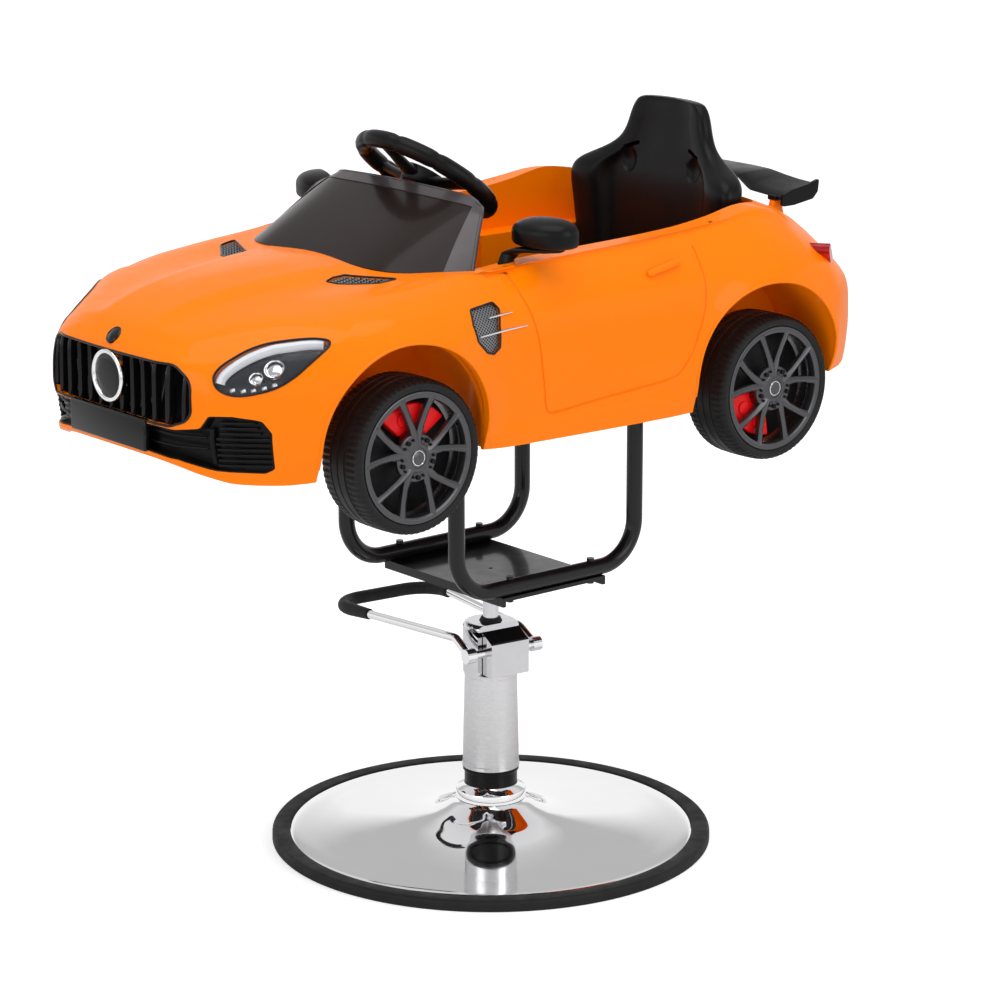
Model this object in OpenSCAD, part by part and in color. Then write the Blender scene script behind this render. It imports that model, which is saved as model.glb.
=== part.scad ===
// Barber chair for children: a ride-on sports car on a hydraulic pump column.
// +Z is up, the floor is Z = 0 under the column's axis, the car's nose points to -Y
// and its left side to +X.

/* [Base] */
// Outer diameter of the round base, rubber rim included
base_d = 600; // [520:10:700]
// Width of the rubber rim
rim_w = 25; // [15:1:35]
// Height of the rubber rim
rim_h = 15; // [11:1:20]
// Height of the dish at its neck
dish_h = 54; // [46:1:66]
// Sheet thickness of the dish
dish_t = 2; // [1.5:0.5:3]
// Thickness of the steel bottom plate
bottom_t = 8; // [6:1:10]

/* [Pump column] */
// Diameter of the chrome trim ring at the foot of the column
flange_d = 96; // [90:1:110]
// Height of the chrome trim ring
flange_h = 16; // [12:1:20]
// Diameter of the black collar under the steel shroud
collar_d = 72; // [68:1:76]
// Height of the black collar above the dish
collar_h = 47; // [38:1:60]
// Diameter of the shroud at its lower end
shroud_d_low = 78; // [77:1:84]
// Diameter of the shroud at its upper end
shroud_d_top = 71; // [68:1:76]
// Height of the shroud
shroud_h = 135; // [125:5:180]
// Wall thickness of the shroud
shroud_wall = 1.5; // [1:0.5:3]
// Outer diameter of the pump cylinder
cylinder_d = 58; // [50:1:60]
// Wall thickness of the pump cylinder
cylinder_wall = 5; // [3:0.5:8]
// Diameter of the pump head
head_d = 76; // [74:1:80]
// Height of the pump head
head_h = 70; // [66:1:80]
// Angle between the pump head and the car at rest
head_turn = 6; // [0:1:15]
// Diameter of the lifting ram
ram_d = 21.5; // [18:0.5:26]
// Length of ram that shows at the lowest position
ram_out = 66; // [60:1:80]
// Stroke of the ram
lift_travel = 120; // [80:5:125]

/* [Pump pedal] */
// Diameter of the cross shaft
shaft_d = 12; // [10:1:14]
// Diameter of the pedal's steel rod
rod_d = 11; // [9:1:13]
// Diameter of the rubber grip
grip_d = 18; // [15:1:22]
// Reach of the pedal from the column's axis
pedal_reach = 281; // [250:1:320]
// Half width of the pedal between rod centres at the grip
pedal_half_w = 87; // [75:1:100]
// Bend radius of the pedal's corners
pedal_corner_r = 45; // [35:1:55]

/* [Car frame] */
// Width of the mounting plate, across the car
plate_w = 252; // [240:2:280]
// Length of the mounting plate, along the car
plate_l = 178; // [150:2:220]
// Thickness of the mounting plate
plate_t = 5; // [3:0.5:8]
// Diameter of the frame tubes
tube_d = 22; // [20:1:25]
// Length of each tube loop, along the car
loop_l = 330; // [300:5:360]
// Height of each tube loop
loop_h = 268; // [240:2:300]
// Bend radius of the loops at the tube's centre
loop_bend_r = 58; // [50:1:70]
// Thickness of the steel floor pan under the car
pan_t = 5; // [3:0.5:8]

/* [Car body] */
// Length of the car body
body_l = 1101; // [1060:1:1160]
// Width of the car body over the rear arches
body_w = 580; // [570:2:600]
// Height of the car body, sill to rear deck
body_h = 260; // [250:2:280]
// Wall thickness of the moulded body
body_wall = 5; // [4:0.5:7]
// Distance from the column's axis to the car's nose
nose_reach = 604; // [590:1:620]
// Half width of the cockpit opening
cockpit_half_w = 197; // [188:1:204]
// Half width of the front grille
grille_half_w = 150; // [140:1:154]
// Height of the front grille
grille_h = 82; // [70:1:86]
// Width of the bare plate board on the nose
board_w = 170; // [140:2:176]
// Height of the bare plate board
board_h = 46; // [36:1:48]

/* [Windscreen] */
// Half width of the screen at its foot
screen_foot_half_w = 203; // [195:1:206]
// Half width of the screen at its top
screen_top_half_w = 159; // [145:1:168]
// Height of the screen above the cowl
screen_h = 78; // [60:1:95]
// Thickness of the screen
screen_t = 4; // [3:0.5:6]

/* [Wheels] */
// Diameter of the tyres
tyre_d = 195; // [180:1:200]
// Width of the tyres
tyre_w = 78; // [65:1:82]
// Diameter of the wheel rims
wheel_d = 166; // [156:1:168]
// Distance between the front and rear axles
wheelbase = 600; // [580:1:620]
// Distance between the outer faces of a pair of tyres
track_out = 552; // [540:1:564]
// Diameter of the wheel axles
axle_d = 12; // [10:1:14]
// Number of spokes in a wheel
spokes = 10; // [7:1:12]

/* [Steering] */
// Outer diameter of the steering wheel
steer_d = 204; // [180:2:220]
// Tilt of the steering wheel from level
steer_tilt = 36; // [30:1:40]
// Thickness of the steering wheel's rim
steer_rim_d = 22; // [18:1:26]
// Diameter of the steering column
column_d = 14; // [12:1:18]
// Length of the track arms
track_arm = 40; // [34:1:46]

/* [Seat] */
// Height of the headrest's top above the car's sill
seat_top_h = 368; // [330:2:380]
// Width of the seat over its side bolsters
seat_w = 312; // [270:2:314]
// Width of the headrest
headrest_w = 132; // [110:2:150]
// Thickness of the seat's moulded back
seat_t = 21; // [18:1:26]

/* [Rear wing] */
// Span of the rear wing
wing_w = 372; // [320:4:420]
// Chord of the rear wing
wing_chord = 62; // [50:1:75]

/* [Hidden] */
$fn = 64;

// Running clearance of pins and shafts, seat clearance between pieces, and overrun of cuts
run_gap = 0.05;
seat_gap = 0.3;
over = 2;

// Heights of the column, stacked from the floor
dish_edge_h = rim_h - dish_t;
collar_top = dish_h + collar_h;
head_z = collar_top + shroud_h;
head_top = head_z + head_h;
ram_top = head_top + ram_out;
dish_edge_r = base_d / 2 - rim_w - seat_gap;
neck_r = collar_d / 2 + flange_h / 2;
collar_lip = 6;
ram_r = ram_d / 2;
head_r = head_d / 2;
cyl_r = cylinder_d / 2;
piston_h = 16;
piston_top = head_z - lift_travel - piston_h / 4;
seal_h = 5;

// Pump head and its cross shaft, in the head's own frame: X out of the cover, Y along the shaft
shaft_x = 28;
shaft_z = head_z + head_h / 2;
cover_face_x = 42;
cover_flat_x = shaft_x - shaft_d / 2 - 2;
cover_w = 60;
cover_shift = 4;
cover_wall = 3.5;
cover_low = head_z + 2;
cover_front_top = shaft_z + 13;
cover_back_top = head_top - 2;
cover_back_x = 6;
panel_t = 1;
hub_r = shaft_d / 2 + 4;
hub_len = 14;
arm_half_w = cover_w / 2 + cover_shift + hub_len + 5;
arm_bend_x = -7;
arm_bend_z = shaft_z + 17;
pedal_z = shaft_z + 5;
grip_lead = 8;
grip_tail = 46;

// Mounting plate and tube loops
plate_z = ram_top + 2;
plate_top = plate_z + plate_t;
plate_shift = 6;
plate_lip = 7;
boss_d = ram_d + 18;
boss_h = 28;
tube_r = tube_d / 2;
loop_x = plate_w / 2 - tube_r + 2;
loop_top = plate_top + loop_h;
bolt_d = 6;
bolt_head_d = 10;
bolt_head_h = 4;
bolt_reach = 70;

// Car: the pan lies on the loops, and the body's sill hangs below the pan
pan_z = loop_top;
pan_top = pan_z + pan_t;
sill_drop = 26;
body_z = pan_z - sill_drop;
nose_y = -nose_reach;
tail_y = nose_y + body_l;
half_w = body_w / 2;

// Axles
front_y = nose_y + 0.2416 * body_l;
rear_y = front_y + wheelbase;
hub_z = body_z + 16;
tyre_r = tyre_d / 2;
wheel_r = wheel_d / 2;
tyre_x = track_out / 2 - tyre_w;
axle_r = axle_d / 2;

// Cross-sections of the car body: place along the car, then the heights and half widths of
// the sill, the widest point, the shoulder, the panel edge and the centre line
section_shares = [
    [0.000, 0.115, 0.30, 0.34, 0.262, 0.30, 0.519, 0.17, 0.546, 0.550],
    [0.004, 0.092, 0.39, 0.43, 0.262, 0.37, 0.542, 0.21, 0.577, 0.592],
    [0.013, 0.069, 0.47, 0.50, 0.262, 0.43, 0.562, 0.24, 0.619, 0.638],
    [0.026, 0.038, 0.54, 0.58, 0.262, 0.48, 0.581, 0.27, 0.658, 0.681],
    [0.045, 0.008, 0.63, 0.66, 0.269, 0.53, 0.608, 0.29, 0.696, 0.727],
    [0.067, 0.000, 0.71, 0.73, 0.277, 0.59, 0.631, 0.32, 0.731, 0.762],
    [0.094, 0.000, 0.79, 0.83, 0.292, 0.69, 0.646, 0.34, 0.758, 0.792],
    [0.126, 0.015, 0.86, 0.90, 0.319, 0.77, 0.681, 0.37, 0.781, 0.819],
    [0.167, 0.046, 0.88, 0.95, 0.346, 0.79, 0.727, 0.39, 0.800, 0.842],
    [0.208, 0.069, 0.90, 0.98, 0.369, 0.80, 0.762, 0.41, 0.815, 0.858],
    [0.242, 0.069, 0.91, 0.99, 0.377, 0.80, 0.781, 0.43, 0.827, 0.865],
    [0.285, 0.069, 0.92, 0.99, 0.377, 0.79, 0.804, 0.46, 0.838, 0.869],
    [0.331, 0.038, 0.92, 0.97, 0.377, 0.78, 0.819, 0.59, 0.846, 0.869],
    [0.376, 0.027, 0.92, 0.94, 0.377, 0.77, 0.831, 0.71, 0.846, 0.862],
    [0.431, 0.023, 0.92, 0.93, 0.358, 0.78, 0.842, 0.71, 0.865, 0.877],
    [0.512, 0.015, 0.91, 0.92, 0.346, 0.79, 0.854, 0.71, 0.877, 0.888],
    [0.603, 0.012, 0.91, 0.93, 0.346, 0.79, 0.865, 0.71, 0.888, 0.900],
    [0.676, 0.015, 0.91, 0.94, 0.354, 0.79, 0.881, 0.71, 0.904, 0.915],
    [0.730, 0.054, 0.92, 0.97, 0.369, 0.80, 0.900, 0.71, 0.931, 0.946],
    [0.787, 0.077, 0.94, 1.00, 0.385, 0.80, 0.912, 0.68, 0.973, 0.996],
    [0.839, 0.085, 0.94, 0.99, 0.385, 0.79, 0.869, 0.63, 0.954, 0.992],
    [0.880, 0.088, 0.91, 0.97, 0.377, 0.74, 0.808, 0.57, 0.896, 0.938],
    [0.912, 0.088, 0.86, 0.90, 0.369, 0.69, 0.742, 0.50, 0.827, 0.877],
    [0.939, 0.092, 0.79, 0.82, 0.362, 0.62, 0.673, 0.43, 0.754, 0.800],
    [0.962, 0.100, 0.70, 0.73, 0.354, 0.54, 0.608, 0.36, 0.681, 0.727],
    [0.980, 0.115, 0.59, 0.62, 0.346, 0.45, 0.546, 0.29, 0.612, 0.650],
    [0.994, 0.138, 0.45, 0.48, 0.338, 0.34, 0.485, 0.20, 0.535, 0.565],
    [1.000, 0.162, 0.33, 0.34, 0.331, 0.24, 0.431, 0.14, 0.469, 0.485]];

// Places in the body's own shares: along it, half width and height
function along(s) = nose_y + s * body_l;
function across(s) = s * half_w;
function above(s) = body_z + s * body_h;

// Point between b and c on the smooth curve through a, b, c and d
function between(a, b, c, d, t) = 0.5 * (2 * b + t * (c - a) + t * t * (2 * a - 5 * b + 4 * c - d)
    + t * t * t * (3 * b - a - 3 * c + d));

// Corner points of one half section, sill centre to roof centre
function section_corners(s) = let (
    sill_z = above(s[1]), sill_x = across(s[2]), wide_x = across(s[3]), wide_z = above(s[4]),
    crest_x = across(s[5]), crest_z = above(s[6]))
    [[sill_x, sill_z], [sill_x + 0.7 * (wide_x - sill_x), sill_z + 0.42 * (wide_z - sill_z)],
    [wide_x, wide_z],
    [crest_x + 0.86 * (wide_x - crest_x), wide_z + 0.58 * (crest_z - wide_z)],
    [crest_x, crest_z], [across(s[7]), above(s[8])], [0, above(s[9])]];

// Smooth half section with the given number of steps in each stretch
function smooth_half(c, steps) = let (last = len(c) - 1, far = [-c[last - 1][0], c[last - 1][1]])
    concat([for (i = [0:last - 1], k = [0:steps - 1])
        between(c[max(i - 1, 0)], c[i], c[i + 1], i + 2 > last ? far : c[i + 2], k / steps)], [c[last]]);

// A half section moved inwards by the depth, its foot left open below
function inset_half(p, depth) = let (last = len(p) - 1) [for (i = [0:last])
    let (
        a = p[max(i - 1, 0)],
        b = i == last ? [-p[i - 1][0], p[i - 1][1]] : p[i + 1],
        run = b - a,
        n = [run[1], -run[0]] / norm(run))
    i == last ? [0, p[i][1] - depth] : [p[i][0] - depth * n[0], p[i][1] - depth * n[1]]];

function ring_of(half) = concat(half, [for (i = [len(half) - 2:-1:0]) [-half[i][0], half[i][1]]]);

function depth_y(s, depth) = let (mid = (nose_y + tail_y) / 2)
    mid + (along(s) - mid) * (body_l - 2 * depth) / body_l;

section_steps = 3;

// One stretch of the body's form between two stations, as a hull of its two rings
module form_stretch(rings, places) {
    count = len(rings[0]);
    points = [for (i = [0, 1], p = rings[i]) [p[0], places[i], p[1]]];
    sides = [for (j = [0:count - 1]) let (k = (j + 1) % count) [j, k, count + k, count + j]];
    hull() polyhedron(points, concat(sides, [[for (j = [count - 1:-1:0]) j]],
        [[for (j = [0:count - 1]) count + j]]));
}

// The body's outer form, moved inwards by the depth and drawn down below its sill by the foot
module body_form(depth, foot) {
    halves = [for (s = section_shares) inset_half(smooth_half(section_corners(s), section_steps), depth)];
    last = len(halves) - 1;
    places = [for (s = section_shares) depth_y(s[0], depth)];
    for (i = [0:last - 1]) {
        form_stretch([ring_of(halves[i]), ring_of(halves[i + 1])], [places[i], places[i + 1]]);
        if (foot > 0)
            form_stretch([for (k = [i, i + 1]) let (x = halves[k][0][0], z = halves[k][0][1])
                [[x, z - foot], [x, z + over], [-x, z + over], [-x, z - foot]]], [places[i], places[i + 1]]);
    }
}

// A layer of the body between two depths
module skin(outer, inner) {
    difference() {
        body_form(outer, 0);
        body_form(inner, over);
    }
}

module mirrored() {
    children();
    mirror([1, 0, 0]) children();
}

// Box from one corner to the opposite one
module span(low, high) {
    translate(low) cube(high - low);
}

// Rounded bar between two points, as a hull of two balls
module rod(a, b, r) {
    hull() {
        translate(a) sphere(r, $fn = 12);
        translate(b) sphere(r, $fn = 12);
    }
}

// Polyline with its inner corners rounded by the given radii
function unit(v) = v / norm(v);
function rounded(v, r, steps) = concat([v[0]], [for (i = [1:len(v) - 2]) let (
    u = unit(v[i] - v[i - 1]), w = unit(v[i + 1] - v[i]),
    turn = acos(u * w), reach = r[i - 1] * tan(turn / 2),
    a = v[i] - reach * u, b = v[i] + reach * w)
    each [for (k = [0:steps]) let (t = k / steps) (1 - t) * (1 - t) * a + 2 * t * (1 - t) * v[i] + t * t * b]],
    [v[len(v) - 1]]);

// Tube of round section along a path, hollow where the bore isn't zero
module swept(path, r, bore, sides) {
    last = len(path) - 1;
    dirs = [for (i = [0:last]) unit(path[min(i + 1, last)] - path[max(i - 1, 0)])];
    outs = [for (d = dirs) unit(cross(d, [0, 0, 1]))];
    ring = function (i, q) [for (k = [0:sides - 1]) let (a = 360 * k / sides)
        path[i] + q * (cos(a) * outs[i] + sin(a) * cross(outs[i], dirs[i]))];
    wall = function (start, flip) [for (i = [0:last - 1], k = [0:sides - 1]) let (
        a = start + i * sides + k, b = start + i * sides + (k + 1) % sides, q = [a, b, b + sides, a + sides])
        each flip ? [[q[0], q[2], q[1]], [q[0], q[3], q[2]]] : [[q[0], q[1], q[2]], [q[0], q[2], q[3]]]];
    outer = [for (i = [0:last]) each ring(i, r)];
    inner = [for (i = [0:last]) each ring(i, bore)];
    n = (last + 1) * sides;
    if (bore == 0)
        polyhedron(outer, concat(wall(0, false), [[for (k = [sides - 1:-1:0]) k]],
            [[for (k = [0:sides - 1]) last * sides + k]]), 4);
    else
        polyhedron(concat(outer, inner), concat(wall(0, false), wall(n, true),
            [for (k = [0:sides - 1]) let (m = (k + 1) % sides) each [[k, n + m, m], [k, n + k, n + m]]],
            [for (k = [0:sides - 1]) let (m = (k + 1) % sides, e = last * sides)
                each [[e + k, e + m, n + e + m], [e + k, n + e + m, n + e + k]]]), 4);
}

// Base and column

module base_bottom_plate() {
    color("dimgray") cylinder(h = bottom_t, r = dish_edge_r, $fn = 128);
}

module base_rim_ring() {
    round_r = rim_h / 3;
    color("black") rotate_extrude($fn = 128) difference() {
        translate([base_d / 2 - rim_w, 0]) hull() {
            square([rim_w, round_r]);
            translate([round_r, rim_h - round_r]) circle(round_r, $fn = 24);
            translate([rim_w - round_r, rim_h - round_r]) circle(round_r, $fn = 24);
        }
        translate([0, -over]) square([base_d / 2 - rim_w, rim_h + 2 * over]);
    }
}

// Height of the dish's outer surface at a share of the way from its edge to its neck
function dish_rise(t) = dish_edge_h + (dish_h - dish_edge_h) * (0.22 * t + 0.78 * pow(t, 4));

module base_dish() {
    steps = 20;
    edge = dish_edge_r;
    top = [for (i = [0:steps]) let (t = i / steps) [edge + (neck_r - edge) * t, dish_rise(t)]];
    color("silver") rotate_extrude($fn = 128) polygon(concat(
        [[edge, bottom_t]], top,
        [for (i = [steps:-1:0]) [top[i][0] - (i == 0 ? dish_t : 0), top[i][1] - dish_t]],
        [[edge - dish_t, bottom_t]]));
}

module pump_flange() {
    round_r = flange_h / 4;
    inner = collar_d / 2 + run_gap;
    color("silver") rotate_extrude() difference() {
        hull() {
            translate([inner, dish_h]) square([neck_r - inner, flange_h]);
            translate([flange_d / 2 - round_r, dish_h + round_r]) circle(round_r, $fn = 24);
            translate([flange_d / 2 - round_r, dish_h + 2 * round_r]) circle(round_r, $fn = 24);
            translate([inner, dish_h]) square([1, flange_h + round_r]);
        }
        square([inner, head_z]);
    }
}

module lower_collar() {
    color("black") difference() {
        union() {
            translate([0, 0, bottom_t]) cylinder(h = collar_top - bottom_t, d = collar_d);
            translate([0, 0, collar_top - collar_lip])
                cylinder(h = collar_lip, d = shroud_d_low - 2 * shroud_wall);
        }
        translate([0, 0, bottom_t - over])
            cylinder(h = collar_top - bottom_t + 2 * over, r = cyl_r + run_gap);
    }
}

module pump_cylinder() {
    color("gray") difference() {
        translate([0, 0, bottom_t]) cylinder(h = head_z - bottom_t, r = cyl_r);
        translate([0, 0, bottom_t + cylinder_wall]) cylinder(h = head_z, r = cyl_r - cylinder_wall);
    }
}

module column_shroud() {
    color("lightgray") difference() {
        translate([0, 0, collar_top]) cylinder(h = shroud_h, d1 = shroud_d_low, d2 = shroud_d_top);
        translate([0, 0, collar_top]) cylinder(h = shroud_h, d1 = shroud_d_low - 2 * shroud_wall,
            d2 = shroud_d_top - 2 * shroud_wall);
    }
}

// Turns the pump head and the pedal to their place on the column
module head_frame() {
    rotate([0, 0, -head_turn]) children();
}

// Side profile of the cover, in X and Z, moved outwards by the gap
module cover_profile(gap) {
    polygon([[cover_flat_x - gap, cover_low - gap], [cover_face_x + gap, cover_low - gap],
        [cover_face_x + gap, cover_front_top + gap], [cover_back_x - gap, cover_back_top + gap],
        [cover_back_x - gap, cover_back_top - cover_wall - gap],
        [cover_flat_x - gap, cover_front_top + 2 * cover_wall - gap]]);
}

// Stands a profile drawn in X and Z upright, with the given width along Y about a place
module across_shaft(width, place) {
    translate([0, place + width / 2, 0]) rotate([90, 0, 0]) linear_extrude(width) children();
}

module pump_head() {
    round_r = 7;
    color("silver") head_frame() difference() {
        rotate_extrude() hull() {
            translate([0, head_z]) square([head_r, head_h - round_r]);
            translate([0, head_z]) square([head_r - round_r, head_h]);
            translate([head_r - round_r, head_top - round_r]) circle(round_r, $fn = 24);
        }
        across_shaft(2 * head_d, 0) {
            offset(delta = panel_t + seat_gap) cover_profile(0);
            translate([cover_flat_x - seat_gap, head_z - over]) square([head_d, head_h + 2 * over]);
        }
        translate([0, 0, head_z - over]) cylinder(h = head_h + 2 * over, r = ram_r + run_gap);
    }
}

module pump_cover() {
    inside_w = cover_w - 2 * cover_wall;
    color("silver") head_frame() difference() {
        across_shaft(cover_w, cover_shift) cover_profile(0);
        translate([0, cover_shift - inside_w / 2, cover_low + cover_wall])
            cube([cover_face_x - cover_wall, inside_w, cover_front_top - cover_low - 2 * cover_wall]);
        translate([shaft_x, cover_shift, shaft_z]) rotate([90, 0, 0])
            cylinder(h = cover_w + 2 * over, r = shaft_d / 2 + run_gap, center = true);
        cylinder(h = head_top + over, r = ram_r + 2 * seal_h);
    }
}

module cover_panel() {
    margin = 4;
    slope = atan2(cover_back_top - cover_front_top, cover_face_x - cover_back_x);
    length = (cover_face_x - cover_back_x - ram_r) / cos(slope);
    color("black") head_frame()
        translate([cover_face_x, cover_shift - cover_w / 2 + margin / 2, cover_front_top])
        rotate([0, slope, 0]) translate([-length, 0, 0]) cube([length - margin / 2, cover_w - margin, panel_t]);
}

module ram_seal() {
    color("black") translate([0, 0, head_top]) difference() {
        cylinder(h = seal_h, r1 = ram_r + seal_h, r2 = ram_r + seal_h / 2);
        translate([0, 0, -over]) cylinder(h = seal_h + 2 * over, r = ram_r + run_gap);
    }
}

// Direction of the pedal's arm where it leaves its hub
arm_start = [shaft_x, arm_half_w, shaft_z];
arm_bend = [arm_bend_x, arm_half_w - 1, arm_bend_z];
arm_root = arm_start + (shaft_d / 4) * unit(arm_bend - arm_start);
function flip_y(p) = [p[0], -p[1], p[2]];
pedal_corner = [-pedal_reach, pedal_half_w, pedal_z];

module lever_shaft() {
    hub_out = arm_half_w + hub_len / 2;
    color("silver") head_frame() difference() {
        translate([shaft_x, 0, shaft_z]) rotate([90, 0, 0]) {
            cylinder(h = 2 * hub_out, d = shaft_d, center = true);
            for (side = [-1, 1]) translate([0, 0, side * arm_half_w])
                cylinder(h = hub_len, r = hub_r, center = true);
        }
        for (p = [arm_start, flip_y(arm_start)], q = [p == arm_start ? arm_bend : flip_y(arm_bend)])
            translate(p) rotate([0, -atan2(q[2] - p[2], q[0] - p[0]), 0])
                rotate([0, 90, 0]) cylinder(h = 2 * hub_r, r = rod_d / 2 + 4 * run_gap);
    }
}

module pedal_bar() {
    path = rounded([arm_root, arm_bend, pedal_corner, flip_y(pedal_corner), flip_y(arm_bend),
        flip_y(arm_root)], [14, pedal_corner_r, pedal_corner_r, 14], 7);
    color("silver") head_frame() swept(path, rod_d / 2, 0, 12);
}

module pedal_grip() {
    arm = unit(arm_bend - pedal_corner);
    corner_reach = pedal_corner_r * tan(acos(arm * [0, -1, 0]) / 2) * -1;
    turn = acos(-(arm * [0, -1, 0]));
    reach = pedal_corner_r * tan(turn / 2);
    start = flip_y(pedal_corner + (reach + grip_lead) * arm);
    finish = pedal_corner + (reach + grip_tail) * arm;
    path = rounded([start, flip_y(pedal_corner), pedal_corner, finish],
        [pedal_corner_r, pedal_corner_r], 7);
    color("black") head_frame() swept(path, grip_d / 2, rod_d / 2 + 4 * run_gap, 12);
}

module ram() {
    foot = piston_top - piston_h;
    color("silver") {
        translate([0, 0, piston_top]) cylinder(h = ram_top - piston_top, r = ram_r);
        translate([0, 0, foot]) cylinder(h = piston_h, r = cyl_r - cylinder_wall - 2 * run_gap);
    }
}

// Frame under the car

module mounting_plate() {
    color("black") difference() {
        union() {
            translate([-plate_w / 2, plate_shift - plate_l / 2, plate_z]) cube([plate_w, plate_l, plate_t]);
            for (y = [plate_shift - plate_l / 2, plate_shift + plate_l / 2 - plate_t])
                translate([-plate_w / 2, y, plate_z - plate_lip]) cube([plate_w, plate_t, plate_lip]);
            translate([0, 0, plate_z - boss_h]) cylinder(h = boss_h, d = boss_d);
        }
        translate([0, 0, plate_z - boss_h - over]) cylinder(h = boss_h + over, r = ram_r + run_gap);
        translate([0, 0, plate_z - over]) cylinder(h = plate_t + 2 * over, d = bolt_d);
        loop_bolt_places() cylinder(h = plate_t + 4 * over, d = bolt_d + 2 * run_gap, center = true);
    }
}

// Bolts through the loops' lower runs, two to a loop
module loop_bolt_places() {
    for (x = [-loop_x, loop_x], y = [-bolt_reach, bolt_reach])
        translate([x, plate_shift + y, plate_z + plate_t / 2]) children();
}

// Closed loop of round tube, standing on the plate in a plane of constant X
module tube_loop(x) {
    half_l = loop_l / 2 - tube_r - loop_bend_r;
    half_h = loop_h / 2 - tube_r - loop_bend_r;
    color("black") translate([x, 0, plate_top + loop_h / 2]) rotate([90, 0, 90]) difference() {
        union() {
            for (sx = [-1, 1], sy = [-1, 1])
                translate([sx * half_l, sy * half_h]) rotate([0, 0, sx > 0 ? (sy > 0 ? 0 : 270) : (sy > 0 ? 90 : 180)])
                    rotate_extrude(angle = 90) translate([loop_bend_r, 0]) circle(tube_r, $fn = 32);
            for (sy = [-1, 1]) translate([0, sy * (half_h + loop_bend_r), 0]) rotate([0, 90, 0])
                cylinder(h = 2 * half_l, r = tube_r, center = true);
            for (sx = [-1, 1]) translate([sx * (half_l + loop_bend_r), 0, 0]) rotate([90, 0, 0])
                cylinder(h = 2 * half_h, r = tube_r, center = true);
        }
        for (y = [-bolt_reach, bolt_reach]) translate([plate_shift + y, -loop_h / 2 + tube_r, 0]) rotate([90, 0, 0])
            cylinder(h = tube_d + 2 * over, d = bolt_d + 2 * run_gap, center = true);
    }
}

module tube_loop_left() {
    tube_loop(loop_x);
}

module tube_loop_right() {
    tube_loop(-loop_x);
}

module loop_bolts() {
    length = plate_t + tube_d;
    color("silver") loop_bolt_places() translate([0, 0, -plate_t / 2]) {
        cylinder(h = length, d = bolt_d);
        translate([0, 0, length]) cylinder(h = bolt_head_h, d = bolt_head_d);
        translate([0, 0, -bolt_head_h]) cylinder(h = bolt_head_h, d = bolt_head_d, $fn = 6);
    }
}

// Steering geometry: the wheel's centre, and kingpins beside the tyres' inner faces
steer_at = [0, along(0.4514), above(1) + 45];
rod_z = hub_z + 4;
kingpin_d = 10;
kingpin_x = tyre_x - 22;
kingpin_head = 3;
knuckle_r = 11;
knuckle_low = hub_z - 13;
arm_pin_d = 6;

// Floor pan outline: the middle runs between the wheels, the sides under the doors
pan_half_w = 138;
pan_wide = 250;

// Centres and radii of the wheel arches, and how far in the wells reach
front_arch_y = front_y - 15;
rear_arch_y = rear_y - 17;
arch_z = hub_z + 24;
front_arch_r = tyre_r + 23;
rear_arch_r = tyre_r + 24.9;
front_well_r = front_arch_r + 12;
front_well_x = 150;
rear_well_x = 172;
lip_x = track_out / 2 - 14;

// Lower bearing of the steering column on the pan
column_foot_y = steer_at[1] - (steer_at[2] - pan_top) * tan(steer_tilt);
bearing_wall = 4;
bearing_h = 20;
module floor_pan() {
    y0 = along(0.10);
    y1 = tub_back - seat_gap;
    door0 = front_arch_y + front_well_r + 2 * body_wall;
    door1 = rear_arch_y - rear_arch_r - 2 * body_wall;
    color("dimgray") difference() {
        translate([0, 0, pan_z]) linear_extrude(pan_t) difference() {
            union() {
                translate([-pan_half_w, y0]) square([2 * pan_half_w, y1 - y0]);
                translate([-pan_wide, door0]) square([2 * pan_wide, door1 - door0]);
                for (side = [-1, 1]) hull() {
                    translate([side * kingpin_x, front_y]) circle(knuckle_r);
                    translate([side * pan_half_w * 0.9, front_y]) circle(2 * knuckle_r);
                }
            }
            for (side = [-1, 1]) translate([side * kingpin_x, front_y])
                circle(d = kingpin_d + 2 * run_gap);
            translate([-column_d, column_foot_y - 26]) square([2 * column_d, 40]);
        }
    }
    color("dimgray") difference() {
        translate([-column_d - bearing_wall, column_foot_y - 30, pan_top - over])
            cube([2 * (column_d + bearing_wall), 54, bearing_h + over]);
        steer_frame() cylinder(h = 8 * steer_d, r = column_d / 2 + run_gap, center = true);
        translate([-column_d, column_foot_y - 26, pan_z - over]) cube([2 * column_d, 40, pan_t + over]);
    }
    color("dimgray") for (side = [-1, 1]) difference() {
        translate([pedal_x + side * (pedal_pad_w / 2 + 4) - 3, pedal_y - pedal_pin_d, pan_top - over])
            cube([6, 2 * pedal_pin_d, pedal_pin_d + 6 + over]);
        translate([pedal_x, pedal_y, pedal_eye_z]) rotate([0, 90, 0])
            cylinder(h = 2 * pedal_pad_w, r = pedal_pin_d / 2 + run_gap, center = true);
    }
    color("dimgray") for (side = [-1, 1]) difference() {
        translate([side * pan_half_w * 0.8 - pan_t / 2, rear_y - axle_d, hub_z - axle_d])
            cube([pan_t, 2 * axle_d, pan_z - hub_z + axle_d + over]);
        translate([0, rear_y, hub_z]) rotate([0, 90, 0])
            cylinder(h = body_w, r = axle_r + run_gap, center = true);
    }
}

// Accelerator pedal's place on the pan, between two eyes
pedal_x = 62;
pedal_y = along(0.27);
pedal_pin_d = 8;
pedal_len = 95;
pedal_pad_w = 60;
pedal_lean = 35;
pedal_eye_z = pan_top + pedal_pin_d / 2 + 1;

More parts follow.
